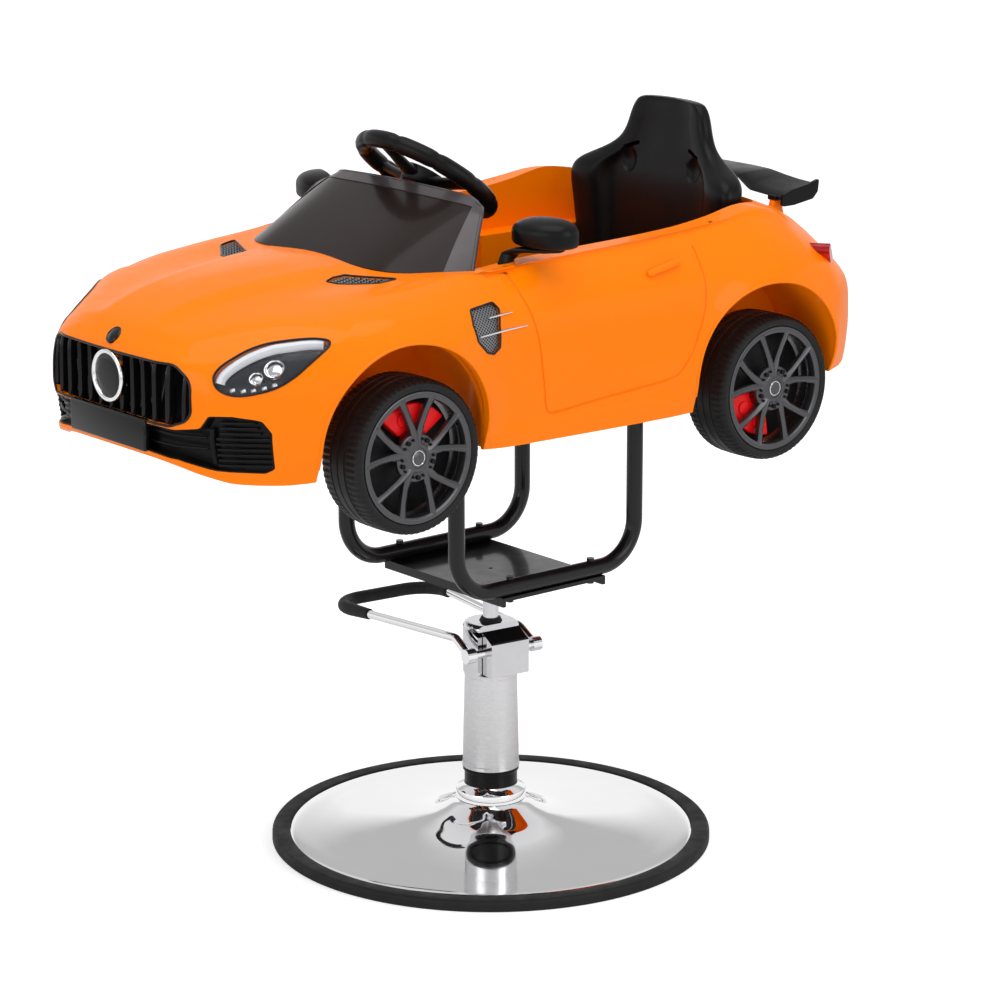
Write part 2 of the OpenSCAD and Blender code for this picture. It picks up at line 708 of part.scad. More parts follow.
module accelerator_pedal() {
    color("black") translate([pedal_x, pedal_y, pedal_eye_z]) {
        rotate([0, 90, 0]) cylinder(h = pedal_pad_w + 16, d = pedal_pin_d, center = true);
        rotate([-pedal_lean, 0, 0]) translate([-pedal_pad_w / 2, -pedal_len, -pedal_pin_d / 4])
            cube([pedal_pad_w, pedal_len, pedal_pin_d / 2]);
    }
}

// Car body

// Plan of the cockpit opening: the front follows the windscreen's foot
cowl_shares = [[0, 0.294], [0.33, 0.304], [0.47, 0.322], [0.60, 0.356], [0.68, 0.386]];
cockpit_back = along(0.842);
deck_corner = 60.6;
module cockpit_plan(gap) {
    offset(delta = gap) union() {
        polygon(concat(
            [for (s = cowl_shares) [across(s[0]) * cockpit_half_w / across(0.68), along(s[1])]],
            [[cockpit_half_w, along(0.78)], [-cockpit_half_w, along(0.78)]],
            [for (i = [len(cowl_shares) - 1:-1:1])
                [-across(cowl_shares[i][0]) * cockpit_half_w / across(0.68), along(cowl_shares[i][1])]]));
        hull() for (side = [-1, 1]) {
            translate([side * (cockpit_half_w - deck_corner), cockpit_back - deck_corner]) circle(deck_corner);
            translate([side * (cockpit_half_w - deck_corner), along(0.74)]) circle(deck_corner);
        }
    }
}

// Plan of the tub's lower part, between the wheels
tub_back = cockpit_back - 4;
tub_half_w = rear_well_x - 2 * body_wall - 4;
door_front = along(0.372);
door_back = rear_arch_y - rear_arch_r - 1.5 * body_wall;
module tub_plan(gap) {
    offset(delta = gap) {
        translate([-cockpit_half_w, door_front]) square([2 * cockpit_half_w, door_back - door_front]);
        translate([-tub_half_w, door_front]) square([2 * tub_half_w, tub_back - door_front]);
    }
}
tub_step_z = arch_z + rear_arch_r + 2 * body_wall + 4;

// Wheel wells of one side, grown by the gap
module wells(gap) {
    translate([0, front_arch_y, arch_z]) rotate([0, 90, 0]) translate([0, 0, front_well_x - gap])
        cylinder(h = lip_x - front_well_x + gap + gap, r = front_well_r + gap);
    span([front_well_x - gap, front_arch_y - front_well_r - gap, body_z - body_h],
        [lip_x + gap, front_arch_y + front_well_r + gap, arch_z]);
    translate([0, rear_arch_y, arch_z]) rotate([0, 90, 0]) translate([0, 0, rear_well_x - gap])
        cylinder(h = body_w, r = rear_arch_r + gap);
    span([rear_well_x - gap, rear_arch_y - rear_arch_r - gap, body_z - body_h],
        [body_w, rear_arch_y + rear_arch_r + gap, arch_z]);
}

// Openings in the outer skin over the front wheels
module front_arch() {
    translate([0, front_arch_y, arch_z]) rotate([0, 90, 0]) translate([0, 0, front_well_x])
        cylinder(h = body_w, r = front_arch_r);
    span([front_well_x, front_arch_y - front_arch_r, body_z - body_h],
        [body_w, front_arch_y + front_arch_r, arch_z]);
}

// Front view outline of the grille, grown by the gap
grille_z = body_z + 0.40 * body_h;
module grille_plan(gap) {
    corner = grille_h * 0.30;
    offset(delta = gap) hull() {
        translate([0, grille_z]) square([grille_half_w, grille_h], center = true);
        for (side = [-1, 1]) {
            translate([side * (grille_half_w - corner), grille_z - grille_h * 0.07]) circle(corner);
            translate([side * (grille_half_w * 0.84 - corner), grille_z + grille_h * 0.36 - corner]) circle(corner);
        }
    }
}

// Front view outline of the lower mouth: a band behind the plate board, wider at its ends
mouth_shares = [[0.29, 0.19], [0.45, 0.18], [0.62, 0.29], [0.735, 0.295], [0.77, 0.07], [0.60, 0.08], [0.45, 0.11],
    [0.29, 0.11]];
module mouth_plan(gap) {
    offset(delta = gap) for (side = [-1, 1])
        polygon([for (s = mouth_shares) [side * across(s[0]), above(s[1])]]);
}

// Prism towards the nose from a plan drawn in X and Z
module from_nose(depth) {
    translate([0, nose_y + depth, 0]) rotate([90, 0, 0]) linear_extrude(depth + over) children();
}

// Headlight outline in its own plane: u runs back along the wing, v up over it
light_l = 144;
light_h = 60;
light_shares = [[-0.45, 0.07], [-0.40, -0.27], [-0.20, -0.47], [0.14, -0.50], [0.34, -0.34], [0.55, 0.07],
    [0.30, 0.36], [0.05, 0.50], [-0.22, 0.50], [-0.38, 0.34]];
light_at = [across(0.707), along(0.081), above(0.538)];
light_u = unit([0.56, 0.775, 0.29]);
light_n = unit([0.396, -0.559, 0.728]);
light_v = cross(light_n, light_u);
module light_prism(gap, reach) {
    multmatrix([
        [light_u[0], light_v[0], light_n[0], light_at[0]],
        [light_u[1], light_v[1], light_n[1], light_at[1]],
        [light_u[2], light_v[2], light_n[2], light_at[2]], [0, 0, 0, 1]])
        translate([0, 0, -reach]) linear_extrude(2 * reach) offset(delta = gap)
            polygon([for (s = light_shares) [s[0] * light_l, s[1] * light_h]]);
}

// Tail lamp: a slanted block that cuts the rear corner
lamp_at = [across(0.83), along(0.874), above(0.70)];
module lamp_prism(gap) {
    translate(lamp_at) rotate([0, 0, 38]) rotate([0, 0, 0]) hull() {
        translate([0, -15, 12]) cube([40, 12 + 2 * gap, 14 + 2 * gap], center = true);
        translate([0, 13, -12]) cube([40, 16 + 2 * gap, 14 + 2 * gap], center = true);
    }
}

// Plan of the hood vent and side view of the fender vent, both in shares
hood_vent_shares = [[0.565, 0.292], [0.400, 0.276], [0.385, 0.262], [0.430, 0.236], [0.530, 0.241]];
module hood_vent_plan(gap) {
    offset(delta = gap) polygon([for (s = hood_vent_shares) [across(s[0]), along(s[1])]]);
}
fender_vent_shares = [[0.317, 0.735], [0.347, 0.745], [0.354, 0.72], [0.356, 0.54], [0.350, 0.51], [0.338, 0.52],
    [0.326, 0.58]];
module fender_vent_plan(gap) {
    offset(delta = gap) polygon([for (s = fender_vent_shares) [along(s[0]), above(s[1])]]);
}

// Prism along X from a plan drawn in Y and Z, from the given half width outwards
module from_side(start) {
    translate([start, 0, 0]) rotate([90, 0, 90]) linear_extrude(body_w) children();
}

// Everything that opens the body's left side, used on both sides
module side_cuts() {
    light_prism(seat_gap, light_h / 2);
    lamp_prism(seat_gap);
    translate([0, 0, above(0.6)]) linear_extrude(body_h) hood_vent_plan(seat_gap);
    from_side(across(0.80)) fender_vent_plan(seat_gap);
    front_arch();
    wells(0);
    span([front_well_x - 3 * body_wall, front_y - 3 * knuckle_r, body_z - body_h],
        [front_well_x + over, front_y + 3 * knuckle_r, pan_top + seat_gap]);
    span([rear_well_x - 3 * body_wall, rear_y - axle_d, body_z - body_h],
        [rear_well_x + over, rear_y + axle_d, hub_z + axle_d]);
}

// Door handle moulded on the door
module door_handle() {
    z = above(0.735);
    reach = across(0.848);
    rod([reach, along(0.5934), z], [reach - 1, along(0.6467), z + 9], 4.8);
}

module car_body() {
    color("darkorange") difference() {
        union() {
            body_form(0, 0);
            mirrored() door_handle();
        }
        difference() {
            body_form(body_wall, body_h);
            mirrored() wells(body_wall);
            translate([0, 0, tub_step_z - body_wall]) linear_extrude(body_h) cockpit_plan(body_wall);
            translate([0, 0, body_z - body_h]) linear_extrude(2 * body_h) tub_plan(body_wall);
        }
        translate([0, 0, tub_step_z]) linear_extrude(body_h) cockpit_plan(0);
        translate([0, 0, body_z - body_h]) linear_extrude(2 * body_h) tub_plan(0);
        span([-pan_half_w, along(0.15), body_z - over], [pan_half_w, door_front + over, above(0.70)]);
        from_nose(70) grille_plan(seat_gap);
        from_nose(70) mouth_plan(seat_gap);
        mirrored() side_cuts();
        span([-pan_wide - seat_gap, front_arch_y + front_well_r + 1.5 * body_wall, body_z - body_h],
            [pan_wide + seat_gap, rear_arch_y - rear_arch_r - 1.7 * body_wall, pan_top]);
    }
}

// Trim set in the body

module headlight(depth0, depth1) {
    intersection() {
        skin(depth0, depth1);
        light_prism(0, light_h / 2);
    }
}

module headlight_left() {
    color("dimgray") headlight(3, 12);
}

module headlight_right() {
    color("dimgray") mirror([1, 0, 0]) headlight(3, 12);
}

module headlight_lenses() {
    color("lightblue") mirrored() headlight(0, 2.8);
}

module tail_lamps() {
    color("red") mirrored() intersection() {
        skin(0, 8);
        lamp_prism(0);
    }
}

grille_slats = 13;
module grille() {
    slat_w = grille_half_w / grille_slats;
    color("black") {
        intersection() {
            skin(9, 13);
            from_nose(70) grille_plan(0);
        }
        intersection() {
            skin(1, 9.5);
            from_nose(70) intersection() {
                grille_plan(-seat_gap);
                for (i = [0:grille_slats - 1])
                    translate([(i - (grille_slats - 1) / 2) * 2 * slat_w, grille_z])
                        square([slat_w, grille_h], center = true);
            }
        }
    }
}

// Plain disc in the grille, standing on the board
disc_d = 66;
disc_t = 6;
module grille_disc() {
    z = above(0.20) + board_h / 2 + seat_gap + disc_d / 2;
    color("silver") translate([0, nose_y + disc_t / 8, z]) rotate([90, 0, 0])
        cylinder(h = disc_t, d1 = disc_d, d2 = disc_d - disc_t);
}

module number_board() {
    z = above(0.20);
    color("black") translate([-board_w / 2, nose_y - 4, z - board_h / 2]) cube([board_w, 4, board_h]);
}

module lower_grille() {
    color("black") intersection() {
        skin(5, 9);
        from_nose(70) mouth_plan(0);
    }
}

module hood_vents() {
    color("black") mirrored() intersection() {
        skin(0.5, 5);
        translate([0, 0, above(0.6)]) linear_extrude(body_h) hood_vent_plan(0);
    }
}

module fender_vents() {
    color("gray") mirrored() intersection() {
        skin(0.5, 5);
        from_side(across(0.80)) fender_vent_plan(0);
    }
}

// Windscreen: a bowed slab from the cowl to its top rail

screen_lift = above(0.862) + seat_gap;
screen_top_y = along(0.412);
screen_foot_y = along(0.285);
screen_side_y = along(0.378);
screen_steps = 12;

// Points of the screen's outer face: s runs across from -1 to 1, t up from 0 to 1
function screen_point(s, t) = let (
    foot = [s * screen_foot_half_w, screen_foot_y + (screen_side_y - screen_foot_y) * pow(abs(s), 2.6),
        screen_lift - 6 * s * s],
    top = [s * screen_top_half_w, screen_top_y + 9 * s * s, screen_lift + screen_h - 6 * s * s])
    foot + t * (top - foot) + [0, -6, 6] * 4 * t * (1 - t) * 0.25;

// Slab over part of the screen, between two depths under its face
screen_rows = 3;
module screen_slab(s0, s1, t0, t1, d0, d1) {
    down = [0, -0.45, 0.9];
    row = screen_rows + 1;
    edge = screen_steps * row;
    layer = edge + row;
    points = [for (d = [d0, d1], i = [0:screen_steps], j = [0:screen_rows])
        screen_point(s0 + (s1 - s0) * i / screen_steps, t0 + (t1 - t0) * j / screen_rows) - down * d];
    cell = function (a, b, c, d) [[a, b, c], [a, c, d]];
    faces = concat(
        [for (i = [0:screen_steps - 1], j = [0:screen_rows - 1]) let (p = i * row + j, q = p + layer)
            each concat(cell(p, p + 1, p + row + 1, p + row), cell(q, q + row, q + row + 1, q + 1))],
        [for (i = [0:screen_steps - 1]) let (a = i * row, c = a + screen_rows)
            each concat(cell(a, a + row, layer + a + row, layer + a), cell(c + row, c, layer + c, layer + c + row))],
        [for (j = [0:screen_rows - 1]) let (e = edge + j)
            each concat(cell(j + 1, j, layer + j, layer + j + 1), cell(e, e + 1, layer + e + 1, layer + e))]);
    polyhedron(points, faces, 4);
}

rail_s = 0.10;
rail_t = 0.13;
module windscreen() {
    color("dimgray") screen_slab(-1 + rail_s, 1 - rail_s, rail_t / 2, 1 - rail_t, 0.4, screen_t - 0.4);
}

module windscreen_frame() {
    color("slategray") difference() {
        screen_slab(-1, 1, 0, 1, 0, screen_t);
        body_form(-seat_gap, 0);
        screen_slab(-1 + rail_s - 0.002, 1 - rail_s + 0.002, rail_t / 2 - 0.005, 1 - rail_t + 0.005, -3, screen_t + 3);
    }
}

module dashboard() {
    top = above(0.82);
    low = above(0.71);
    color("black") difference() {
        intersection() {
            translate([0, 0, low]) linear_extrude(top - low) cockpit_plan(-seat_gap);
            hull() {
                span([-cockpit_half_w, along(0.28), low], [cockpit_half_w, along(0.375), top]);
                span([-cockpit_half_w, along(0.28), top - 12], [cockpit_half_w, along(0.400), top - 10]);
            }
        }
        steer_frame() cylinder(h = 4 * steer_d, r = column_d / 2 + run_gap, center = true);
    }
}

// Steering wheel

module steer_frame() {
    translate(steer_at) rotate([-steer_tilt, 0, 0]) children();
}

hub_r_low = 28;
hub_r_top = 34;
crank_r = 14;
crank_pin_d = 8;
crank_t = 6;
// Distance down the column from the wheel's centre to a given height
function down_to(z) = (steer_at[2] - z) / cos(steer_tilt);
column_end = down_to(rod_z + 5);
module steering_wheel() {
    ring_r = steer_d / 2 - steer_rim_d / 2;
    dish = 22;
    spoke_w = 22;
    color("black") steer_frame() {
        difference() {
            union() {
                rotate_extrude() translate([ring_r, 0]) circle(steer_rim_d / 2, $fn = 24);
                translate([0, 0, -dish]) cylinder(h = dish, r1 = hub_r_low, r2 = hub_r_top);
                for (a = [0, 90, 180]) rotate([0, 0, a]) translate([hub_r_low, -spoke_w / 2, -dish / 2 - 4])
                    cube([ring_r - hub_r_low, spoke_w, 9]);
            }
            translate([0, 0, -6]) cylinder(h = 6 + over, r = hub_r_top * 0.66);
        }
        translate([0, 0, -column_end]) cylinder(h = column_end - dish / 2, d = column_d);
        hull() for (end = [[0, column_d], [crank_r, crank_pin_d]])
            translate([0, end[0], -column_end]) cylinder(h = crank_t, d = end[1]);
        translate([0, crank_r, -column_end - 14]) cylinder(h = 14 + crank_t / 2, d = crank_pin_d);
    }
}

module horn_button() {
    color("dimgray") steer_frame() translate([0, 0, -2]) cylinder(h = 6, r = hub_r_top * 0.66 - seat_gap);
}

// Steering linkage

module kingpins() {
    color("gray") for (side = [-1, 1]) translate([side * kingpin_x, front_y, 0]) {
        translate([0, 0, knuckle_low - seat_gap]) cylinder(h = pan_top - knuckle_low + seat_gap, d = kingpin_d);
        translate([0, 0, pan_top]) cylinder(h = kingpin_head, d = kingpin_d + 6);
        translate([0, 0, knuckle_low - seat_gap - kingpin_head]) cylinder(h = kingpin_head, d = kingpin_d + 6);
    }
}

stub_x0 = kingpin_x;
stub_x1 = track_out / 2 - 18;
// Left knuckle: pivot barrel, stub axle and track arm
module knuckle() {
    arm_w = 12;
    color("dimgray") difference() {
        union() {
            translate([kingpin_x, front_y, knuckle_low])
                cylinder(h = pan_z - knuckle_low - seat_gap, r = knuckle_r);
            translate([stub_x0, front_y, hub_z]) rotate([0, 90, 0]) cylinder(h = stub_x1 - stub_x0, r = axle_r);
            translate([kingpin_x - arm_w / 2, front_y, rod_z - 3]) cube([arm_w, track_arm, 6]);
            translate([kingpin_x, front_y + track_arm, rod_z - 3]) cylinder(h = 6, r = arm_w / 2);
        }
        translate([kingpin_x, front_y, knuckle_low - over])
            cylinder(h = pan_z - knuckle_low + 2 * over, r = kingpin_d / 2 + run_gap);
        translate([kingpin_x, front_y + track_arm, rod_z - 3 - over])
            cylinder(h = 6 + 2 * over, r = arm_pin_d / 2 + 1);
    }
}

module knuckle_left() {
    knuckle();
}

module knuckle_right() {
    mirror([1, 0, 0]) knuckle();
}

fork_gap = crank_pin_d + 1;
fork_t = 6;
module tie_rod() {
    z = rod_z - 3 - seat_gap;
    y = front_y + track_arm;
    fork_y0 = steer_at[1] - (steer_at[2] - z) * tan(steer_tilt) - 2;
    color("gray") {
        for (side = [-1, 1]) {
            translate([side * kingpin_x, y, z - 1]) cylinder(h = 9, d = arm_pin_d);
            translate([side * (kingpin_x + 8 + fork_gap / 2) / 2, y, z - 3])
                cube([kingpin_x + 8 - fork_gap / 2, 12, 6], center = true);
            span([side > 0 ? fork_gap / 2 : -fork_gap / 2 - fork_t, fork_y0, z - 6],
                [side > 0 ? fork_gap / 2 + fork_t : -fork_gap / 2, y + 20, z]);
        }
        span([-fork_gap / 2 - fork_t, y + 14, z - 6], [fork_gap / 2 + fork_t, y + 20, z]);
    }
}

module rear_axle() {
    color("gray") translate([0, rear_y, hub_z]) rotate([0, 90, 0])
        cylinder(h = 2 * stub_x1, r = axle_r, center = true);
}

// Wheels, drawn on the left side with the outer face towards +X

rim_face_x = track_out / 2 - 4;
barrel_wall = 4;
module tyre(y) {
    shoulder = 12;
    color("black") translate([tyre_x, y, hub_z]) rotate([0, 90, 0]) rotate_extrude($fn = 96) difference() {
        hull() {
            translate([wheel_r, 3]) square([1, tyre_w - 6]);
            for (z = [shoulder, tyre_w - shoulder]) translate([tyre_r - shoulder, z]) circle(shoulder, $fn = 32);
        }
        translate([0, -over]) square([wheel_r, tyre_w + 2 * over]);
        for (z = [0.32, 0.5, 0.68]) translate([tyre_r, z * tyre_w]) circle(1.5, $fn = 16);
    }
}

hub_cap_r = 17;
spoke_t = 9;
lug_ring_r = 25;
lug_r = 3;
module wheel_rim(y) {
    back = rim_face_x - tyre_x - 14;
    window_out = wheel_r - 11;
    half_step = 180 / spokes;
    color("dimgray") translate([0, y, hub_z]) rotate([0, 90, 0]) translate([0, 0, rim_face_x]) difference() {
        union() {
            translate([0, 0, -back]) difference() {
                cylinder(h = back, r = wheel_r - run_gap, $fn = 96);
                translate([0, 0, -over]) cylinder(h = back + 2 * over, r = wheel_r - barrel_wall, $fn = 96);
            }
            translate([0, 0, -spoke_t]) cylinder(h = spoke_t - 2, r = wheel_r - barrel_wall, $fn = 96);
            translate([0, 0, -back + 22]) cylinder(h = back - 22, r = hub_cap_r);
        }
        translate([0, 0, -back]) cylinder(h = stub_x1 - rim_face_x + back + seat_gap, r = axle_r + run_gap);
        for (i = [0:spokes - 1]) rotate([0, 0, 360 * (i + 0.5) / spokes]) {
            window_in = i % 2 == 0 ? hub_cap_r + 8 : lug_ring_r + 11;
            translate([0, 0, -spoke_t - over]) linear_extrude(spoke_t + 2 * over) polygon([
                [window_in, -window_in * tan(half_step) + 4], [window_out, -window_out * tan(half_step) + 5],
                [window_out + 3, 0], [window_out, window_out * tan(half_step) - 5],
                [window_in, window_in * tan(half_step) - 4]]);
            if (i % 2 == 1)
                translate([lug_ring_r, 0, -spoke_t / 2]) cylinder(h = spoke_t, r = lug_r);
        }
    }
}

// Brake caliper behind the spokes, at the given angle from the top, on a bracket round the axle
caliper_t = 16;
bracket_t = 6;
module caliper(y, turn, bracket_x) {
    far = rim_face_x - spoke_t - 4;
    outer_r = wheel_r - barrel_wall - 8;
    inner_r = hub_cap_r + 14;
    color("red") translate([0, y, hub_z]) rotate([0, 90, 0]) rotate([0, 0, turn]) {
        translate([0, 0, far - caliper_t]) linear_extrude(caliper_t) difference() {
            intersection() {
                circle(outer_r);
                polygon([[0, 0], [-wheel_r, -wheel_r], [-wheel_r, wheel_r]]);
            }
            circle(inner_r);
        }
        translate([-inner_r - bracket_t, -bracket_t, bracket_x])
            cube([bracket_t, 2 * bracket_t, far - caliper_t / 2 - bracket_x]);
        difference() {
            hull() {
                translate([0, 0, bracket_x]) cylinder(h = bracket_t, r = axle_r + bracket_t);
                translate([-inner_r - bracket_t, -bracket_t, bracket_x]) cube([bracket_t, 2 * bracket_t, bracket_t]);
            }
            translate([0, 0, bracket_x - over]) cylinder(h = bracket_t + 2 * over, r = axle_r + seat_gap);
        }
    }
}

front_bracket_x = kingpin_x + knuckle_r + seat_gap;
rear_bracket_x = rear_well_x + 8;
rear_caliper_turn = 137;
module caliper_front_left() {
    caliper(front_y, 0, front_bracket_x);
}

module caliper_front_right() {
    mirror([1, 0, 0]) caliper(front_y, 0, front_bracket_x);
}

module calipers_rear() {
    mirrored() caliper(rear_y, rear_caliper_turn, rear_bracket_x);
}

module tyre_front_left() {
    tyre(front_y);
}

module tyre_front_right() {
    mirror([1, 0, 0]) tyre(front_y);
}

module tyre_rear_left() {
    tyre(rear_y);
}

module tyre_rear_right() {
    mirror([1, 0, 0]) tyre(rear_y);
}

module rim_front_left() {
    wheel_rim(front_y);
}

module rim_front_right() {
    mirror([1, 0, 0]) wheel_rim(front_y);
}

module rim_rear_left() {
    wheel_rim(rear_y);
}

module rim_rear_right() {
    mirror([1, 0, 0]) wheel_rim(rear_y);
}

// Seat: one moulded bucket. Rows of the back go up: height, half width and place between foot and top
seat_foot_y = along(0.805);
seat_top_y = along(0.8356);
seat_back_shares = [[0.13, 0.87, 0.05], [0.32, 0.90, 0.24], [0.42, 0.93, 0.34], [0.53, 0.96, 0.38],
    [0.66, 1.00, 0.42], [0.712, 0.99, 0.47], [0.744, 0.90, 0.56], [0.769, 0.76, 0.61], [0.797, 0.62, 0.65],
    [0.83, 0.53, 0.74], [0.866, 0.475, 0.82], [0.91, 0.45, 0.88], [0.95, 0.42, 0.92], [0.976, 0.385, 0.95],
    [1.00, 0.30, 1.00]];
bolster_r = 18;
bolster_fill_r = 10;

module seat() {
    half = seat_w / 2;
    rows = [for (s = seat_back_shares)
        [body_z + s[0] * seat_top_h, s[1] * half, seat_foot_y + s[2] * (seat_top_y - seat_foot_y)]];
    foot_x = half * 0.90 - bolster_r;
    top_x = half - bolster_r;
    foot_z = above(0.3);
    top_z = above(0.9);
    foot_y = seat_foot_y - bolster_r * 0.6;
    top_y = foot_y + 0.40 * (seat_top_y - seat_foot_y);
    fill_run = bolster_r + bolster_fill_r * 0.6;
    color("black") {
        // back, one slab per pair of rows
        for (i = [0:len(rows) - 2]) let (a = rows[i], b = rows[i + 1]) hull() {
            translate([-a[1], a[2], a[0]]) cube([2 * a[1], seat_t, 1]);
            translate([-b[1], b[2], b[0] - 1]) cube([2 * b[1], seat_t, 1]);
        }
        // side bolsters
        for (side = [-1, 1]) hull() {
            rod([side * foot_x, foot_y, foot_z], [side * top_x, top_y, top_z], bolster_r);
            rod([side * foot_x, foot_y + fill_run, foot_z], [side * top_x, top_y + fill_run, top_z], bolster_fill_r);
        }
        // seat base
        hull() {
            span([-half + 4, along(0.60), pan_top + seat_gap], [half - 4, seat_foot_y + seat_t / 2, above(0.26)]);
            span([-half + 14, along(0.585), pan_top + seat_gap], [half - 14, seat_foot_y, above(0.24)]);
        }
    }
}

// Mirrors on the door ledges: a swept shell on a flat arm
mirror_at = [across(0.79), along(0.438), above(0.95)];
mirror_turn = 18;
mirror_shares = [[-0.50, 0.34, 0.55], [-0.36, 0.74, 0.90], [-0.10, 0.96, 1.00], [0.16, 1.00, 1.00], [0.36, 0.84, 0.90],
    [0.50, 0.44, 0.60]];
mirror_w = 88;
mirror_h = 40;
mirror_depth = 38;
module mirror_body() {
    foot_z = above(0.858);
    lobe = function (s) [s[0] * mirror_w, s[1] * mirror_depth, s[2] * mirror_h / 2];
    color("black") {
        translate(mirror_at) rotate([0, 0, mirror_turn]) for (i = [0:len(mirror_shares) - 2])
            hull() for (q = [lobe(mirror_shares[i]), lobe(mirror_shares[i + 1])])
                translate([q[0], 0, 0]) rotate([0, 90, 0]) linear_extrude(1) intersection() {
                    scale([q[2], q[1]]) circle(1, $fn = 24);
                    translate([-mirror_h, -2 * mirror_depth]) square([2 * mirror_h, 2 * mirror_depth]);
                }
        difference() {
            hull() {
                translate(mirror_at + [-mirror_w * 0.42, -26, -mirror_h / 2]) cube([20, 11, 8]);
                translate([across(0.67), along(0.395), foot_z - 6]) cube([18, 30, 12]);
            }
            body_form(-seat_gap, 0);
        }
    }
}

module mirror_left() {
    mirror_body();
}

module mirror_right() {
    mirror([1, 0, 0]) mirror_body();
}

module mirror_glasses() {
    glass_t = 2;
    color("lightgray") mirrored() translate(mirror_at) rotate([0, 0, mirror_turn])
        translate([2, seat_gap, 0]) rotate([-90, 0, 0]) linear_extrude(glass_t)
        resize([mirror_w * 0.80, mirror_h * 0.84]) circle(20);
}

// Rear wing on two struts

wing_y = along(0.870);
wing_z = above(1.02) + 2;
wing_t = 5;
wing_shares = [[0, 0], [0.26, -0.02], [0.42, -0.12], [0.54, -0.50], [0.66, -0.88], [0.82, -0.98], [1, -1]];
wing_rise = 17;
strut_x = across(0.557);
strut_w = 12;
strut_flare = 2;
wing_tilt = 6;

module wing_panel() {
    half = wing_w / 2;
    tip = len(wing_shares) - 1;
    for (side = [-1, 1]) {
        for (i = [0:tip - 1]) hull() for (s = [wing_shares[i], wing_shares[i + 1]])
            translate([side * s[0] * half, wing_y + (s[0] > 0.5 ? 0 : 2), wing_z + s[1] * wing_rise])
                rotate([wing_tilt, 0, 0]) {
                    translate([-1, wing_t / 2, 0]) rotate([0, 90, 0]) cylinder(h = 2, d = wing_t, $fn = 16);
                    translate([-1, wing_chord - 2, 1]) cube([2, 2, 2]);
                }
        hull() for (s = [[-4, 10, 3], [wing_chord, 18, 12]])
            translate([side * half, wing_y + s[0], wing_z - wing_rise + s[2] - 6]) cube([4, 5, s[1]], center = true);
    }
}

module rear_wing() {
    color("black") wing_panel();
}

module wing_struts() {
    color("darkorange") mirrored() difference() {
        hull() {
            translate([strut_x - strut_flare, wing_y - 0.4 * wing_chord, above(0.80)])
                cube([strut_w + 2 * strut_flare, 0.68 * wing_chord, over]);
            translate([strut_x, wing_y + strut_flare, wing_z - wing_rise - over / 2])
                cube([strut_w, 0.24 * wing_chord, over]);
        }
        body_form(-seat_gap, 0);
        wing_panel();
    }
}

base_bottom_plate();
base_rim_ring();
base_dish();
pump_flange();
lower_collar();
pump_cylinder();
column_shroud();
pump_head();
pump_cover();
cover_panel();
ram_seal();
lever_shaft();
pedal_bar();
pedal_grip();
ram();
mounting_plate();
tube_loop_left();
tube_loop_right();
loop_bolts();
floor_pan();
car_body();
dashboard();
windscreen();
windscreen_frame();
seat();
headlight_left();
headlight_right();
headlight_lenses();
tail_lamps();
grille();
grille_disc();
number_board();
lower_grille();
hood_vents();
fender_vents();
mirror_left();
mirror_right();
mirror_glasses();
rear_wing();
wing_struts();
steering_wheel();
horn_button();
accelerator_pedal();
kingpins();
knuckle_left();
knuckle_right();
tie_rod();
rear_axle();
caliper_front_left();
caliper_front_right();
calipers_rear();
tyre_front_left();
tyre_front_right();
tyre_rear_left();
tyre_rear_right();
rim_front_left();
rim_front_right();
rim_rear_left();
rim_rear_right();
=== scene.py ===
# %% [markdown]
# # Kids car barber chair
# A hairdresser's chair for children: a sports car shell on two tube loops, carried by a hydraulic
# pump column with a foot lever and a round chrome base. The solids come from a CAD model that stays
# fixed, and this lesson dresses them: it replaces the plain solids whose surfaces need more shape,
# and gives a procedural finish to every piece. +Z is up, -Y is the car's nose and +X its left side.

# %% Load the fixed frame
import math
import bpy
import bmesh
from mathutils import Matrix, Vector
from mathutils.bvhtree import BVHTree


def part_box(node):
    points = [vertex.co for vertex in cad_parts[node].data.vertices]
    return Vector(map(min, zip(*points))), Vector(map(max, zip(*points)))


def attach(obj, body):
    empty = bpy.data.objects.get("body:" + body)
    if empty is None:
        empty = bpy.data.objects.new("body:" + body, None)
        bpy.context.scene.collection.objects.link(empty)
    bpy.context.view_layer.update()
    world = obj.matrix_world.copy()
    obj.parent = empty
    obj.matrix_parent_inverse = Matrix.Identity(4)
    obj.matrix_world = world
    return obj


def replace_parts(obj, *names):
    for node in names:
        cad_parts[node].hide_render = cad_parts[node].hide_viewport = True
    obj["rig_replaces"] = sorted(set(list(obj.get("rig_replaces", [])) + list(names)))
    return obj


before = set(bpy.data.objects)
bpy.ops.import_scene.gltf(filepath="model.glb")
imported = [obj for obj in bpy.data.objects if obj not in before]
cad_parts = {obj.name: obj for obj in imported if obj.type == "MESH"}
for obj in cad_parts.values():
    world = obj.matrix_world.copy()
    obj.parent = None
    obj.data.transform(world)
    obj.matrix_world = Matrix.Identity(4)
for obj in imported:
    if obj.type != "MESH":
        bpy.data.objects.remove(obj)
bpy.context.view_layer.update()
scene = bpy.context.scene

# %% [markdown]
# Every size below is in millimetres, as in a workshop drawing, and `put` scales a finished bmesh to
# metres. A piece keeps its place in its mesh, so its object stays at the origin. Edges that turn by
# more than `sharp` degrees stay crisp, and all others are shaded smooth.

# %% A helper that turns a bmesh into a piece of the chair
MM = 0.001
SIDES = (("left", 1), ("right", -1))
made = []


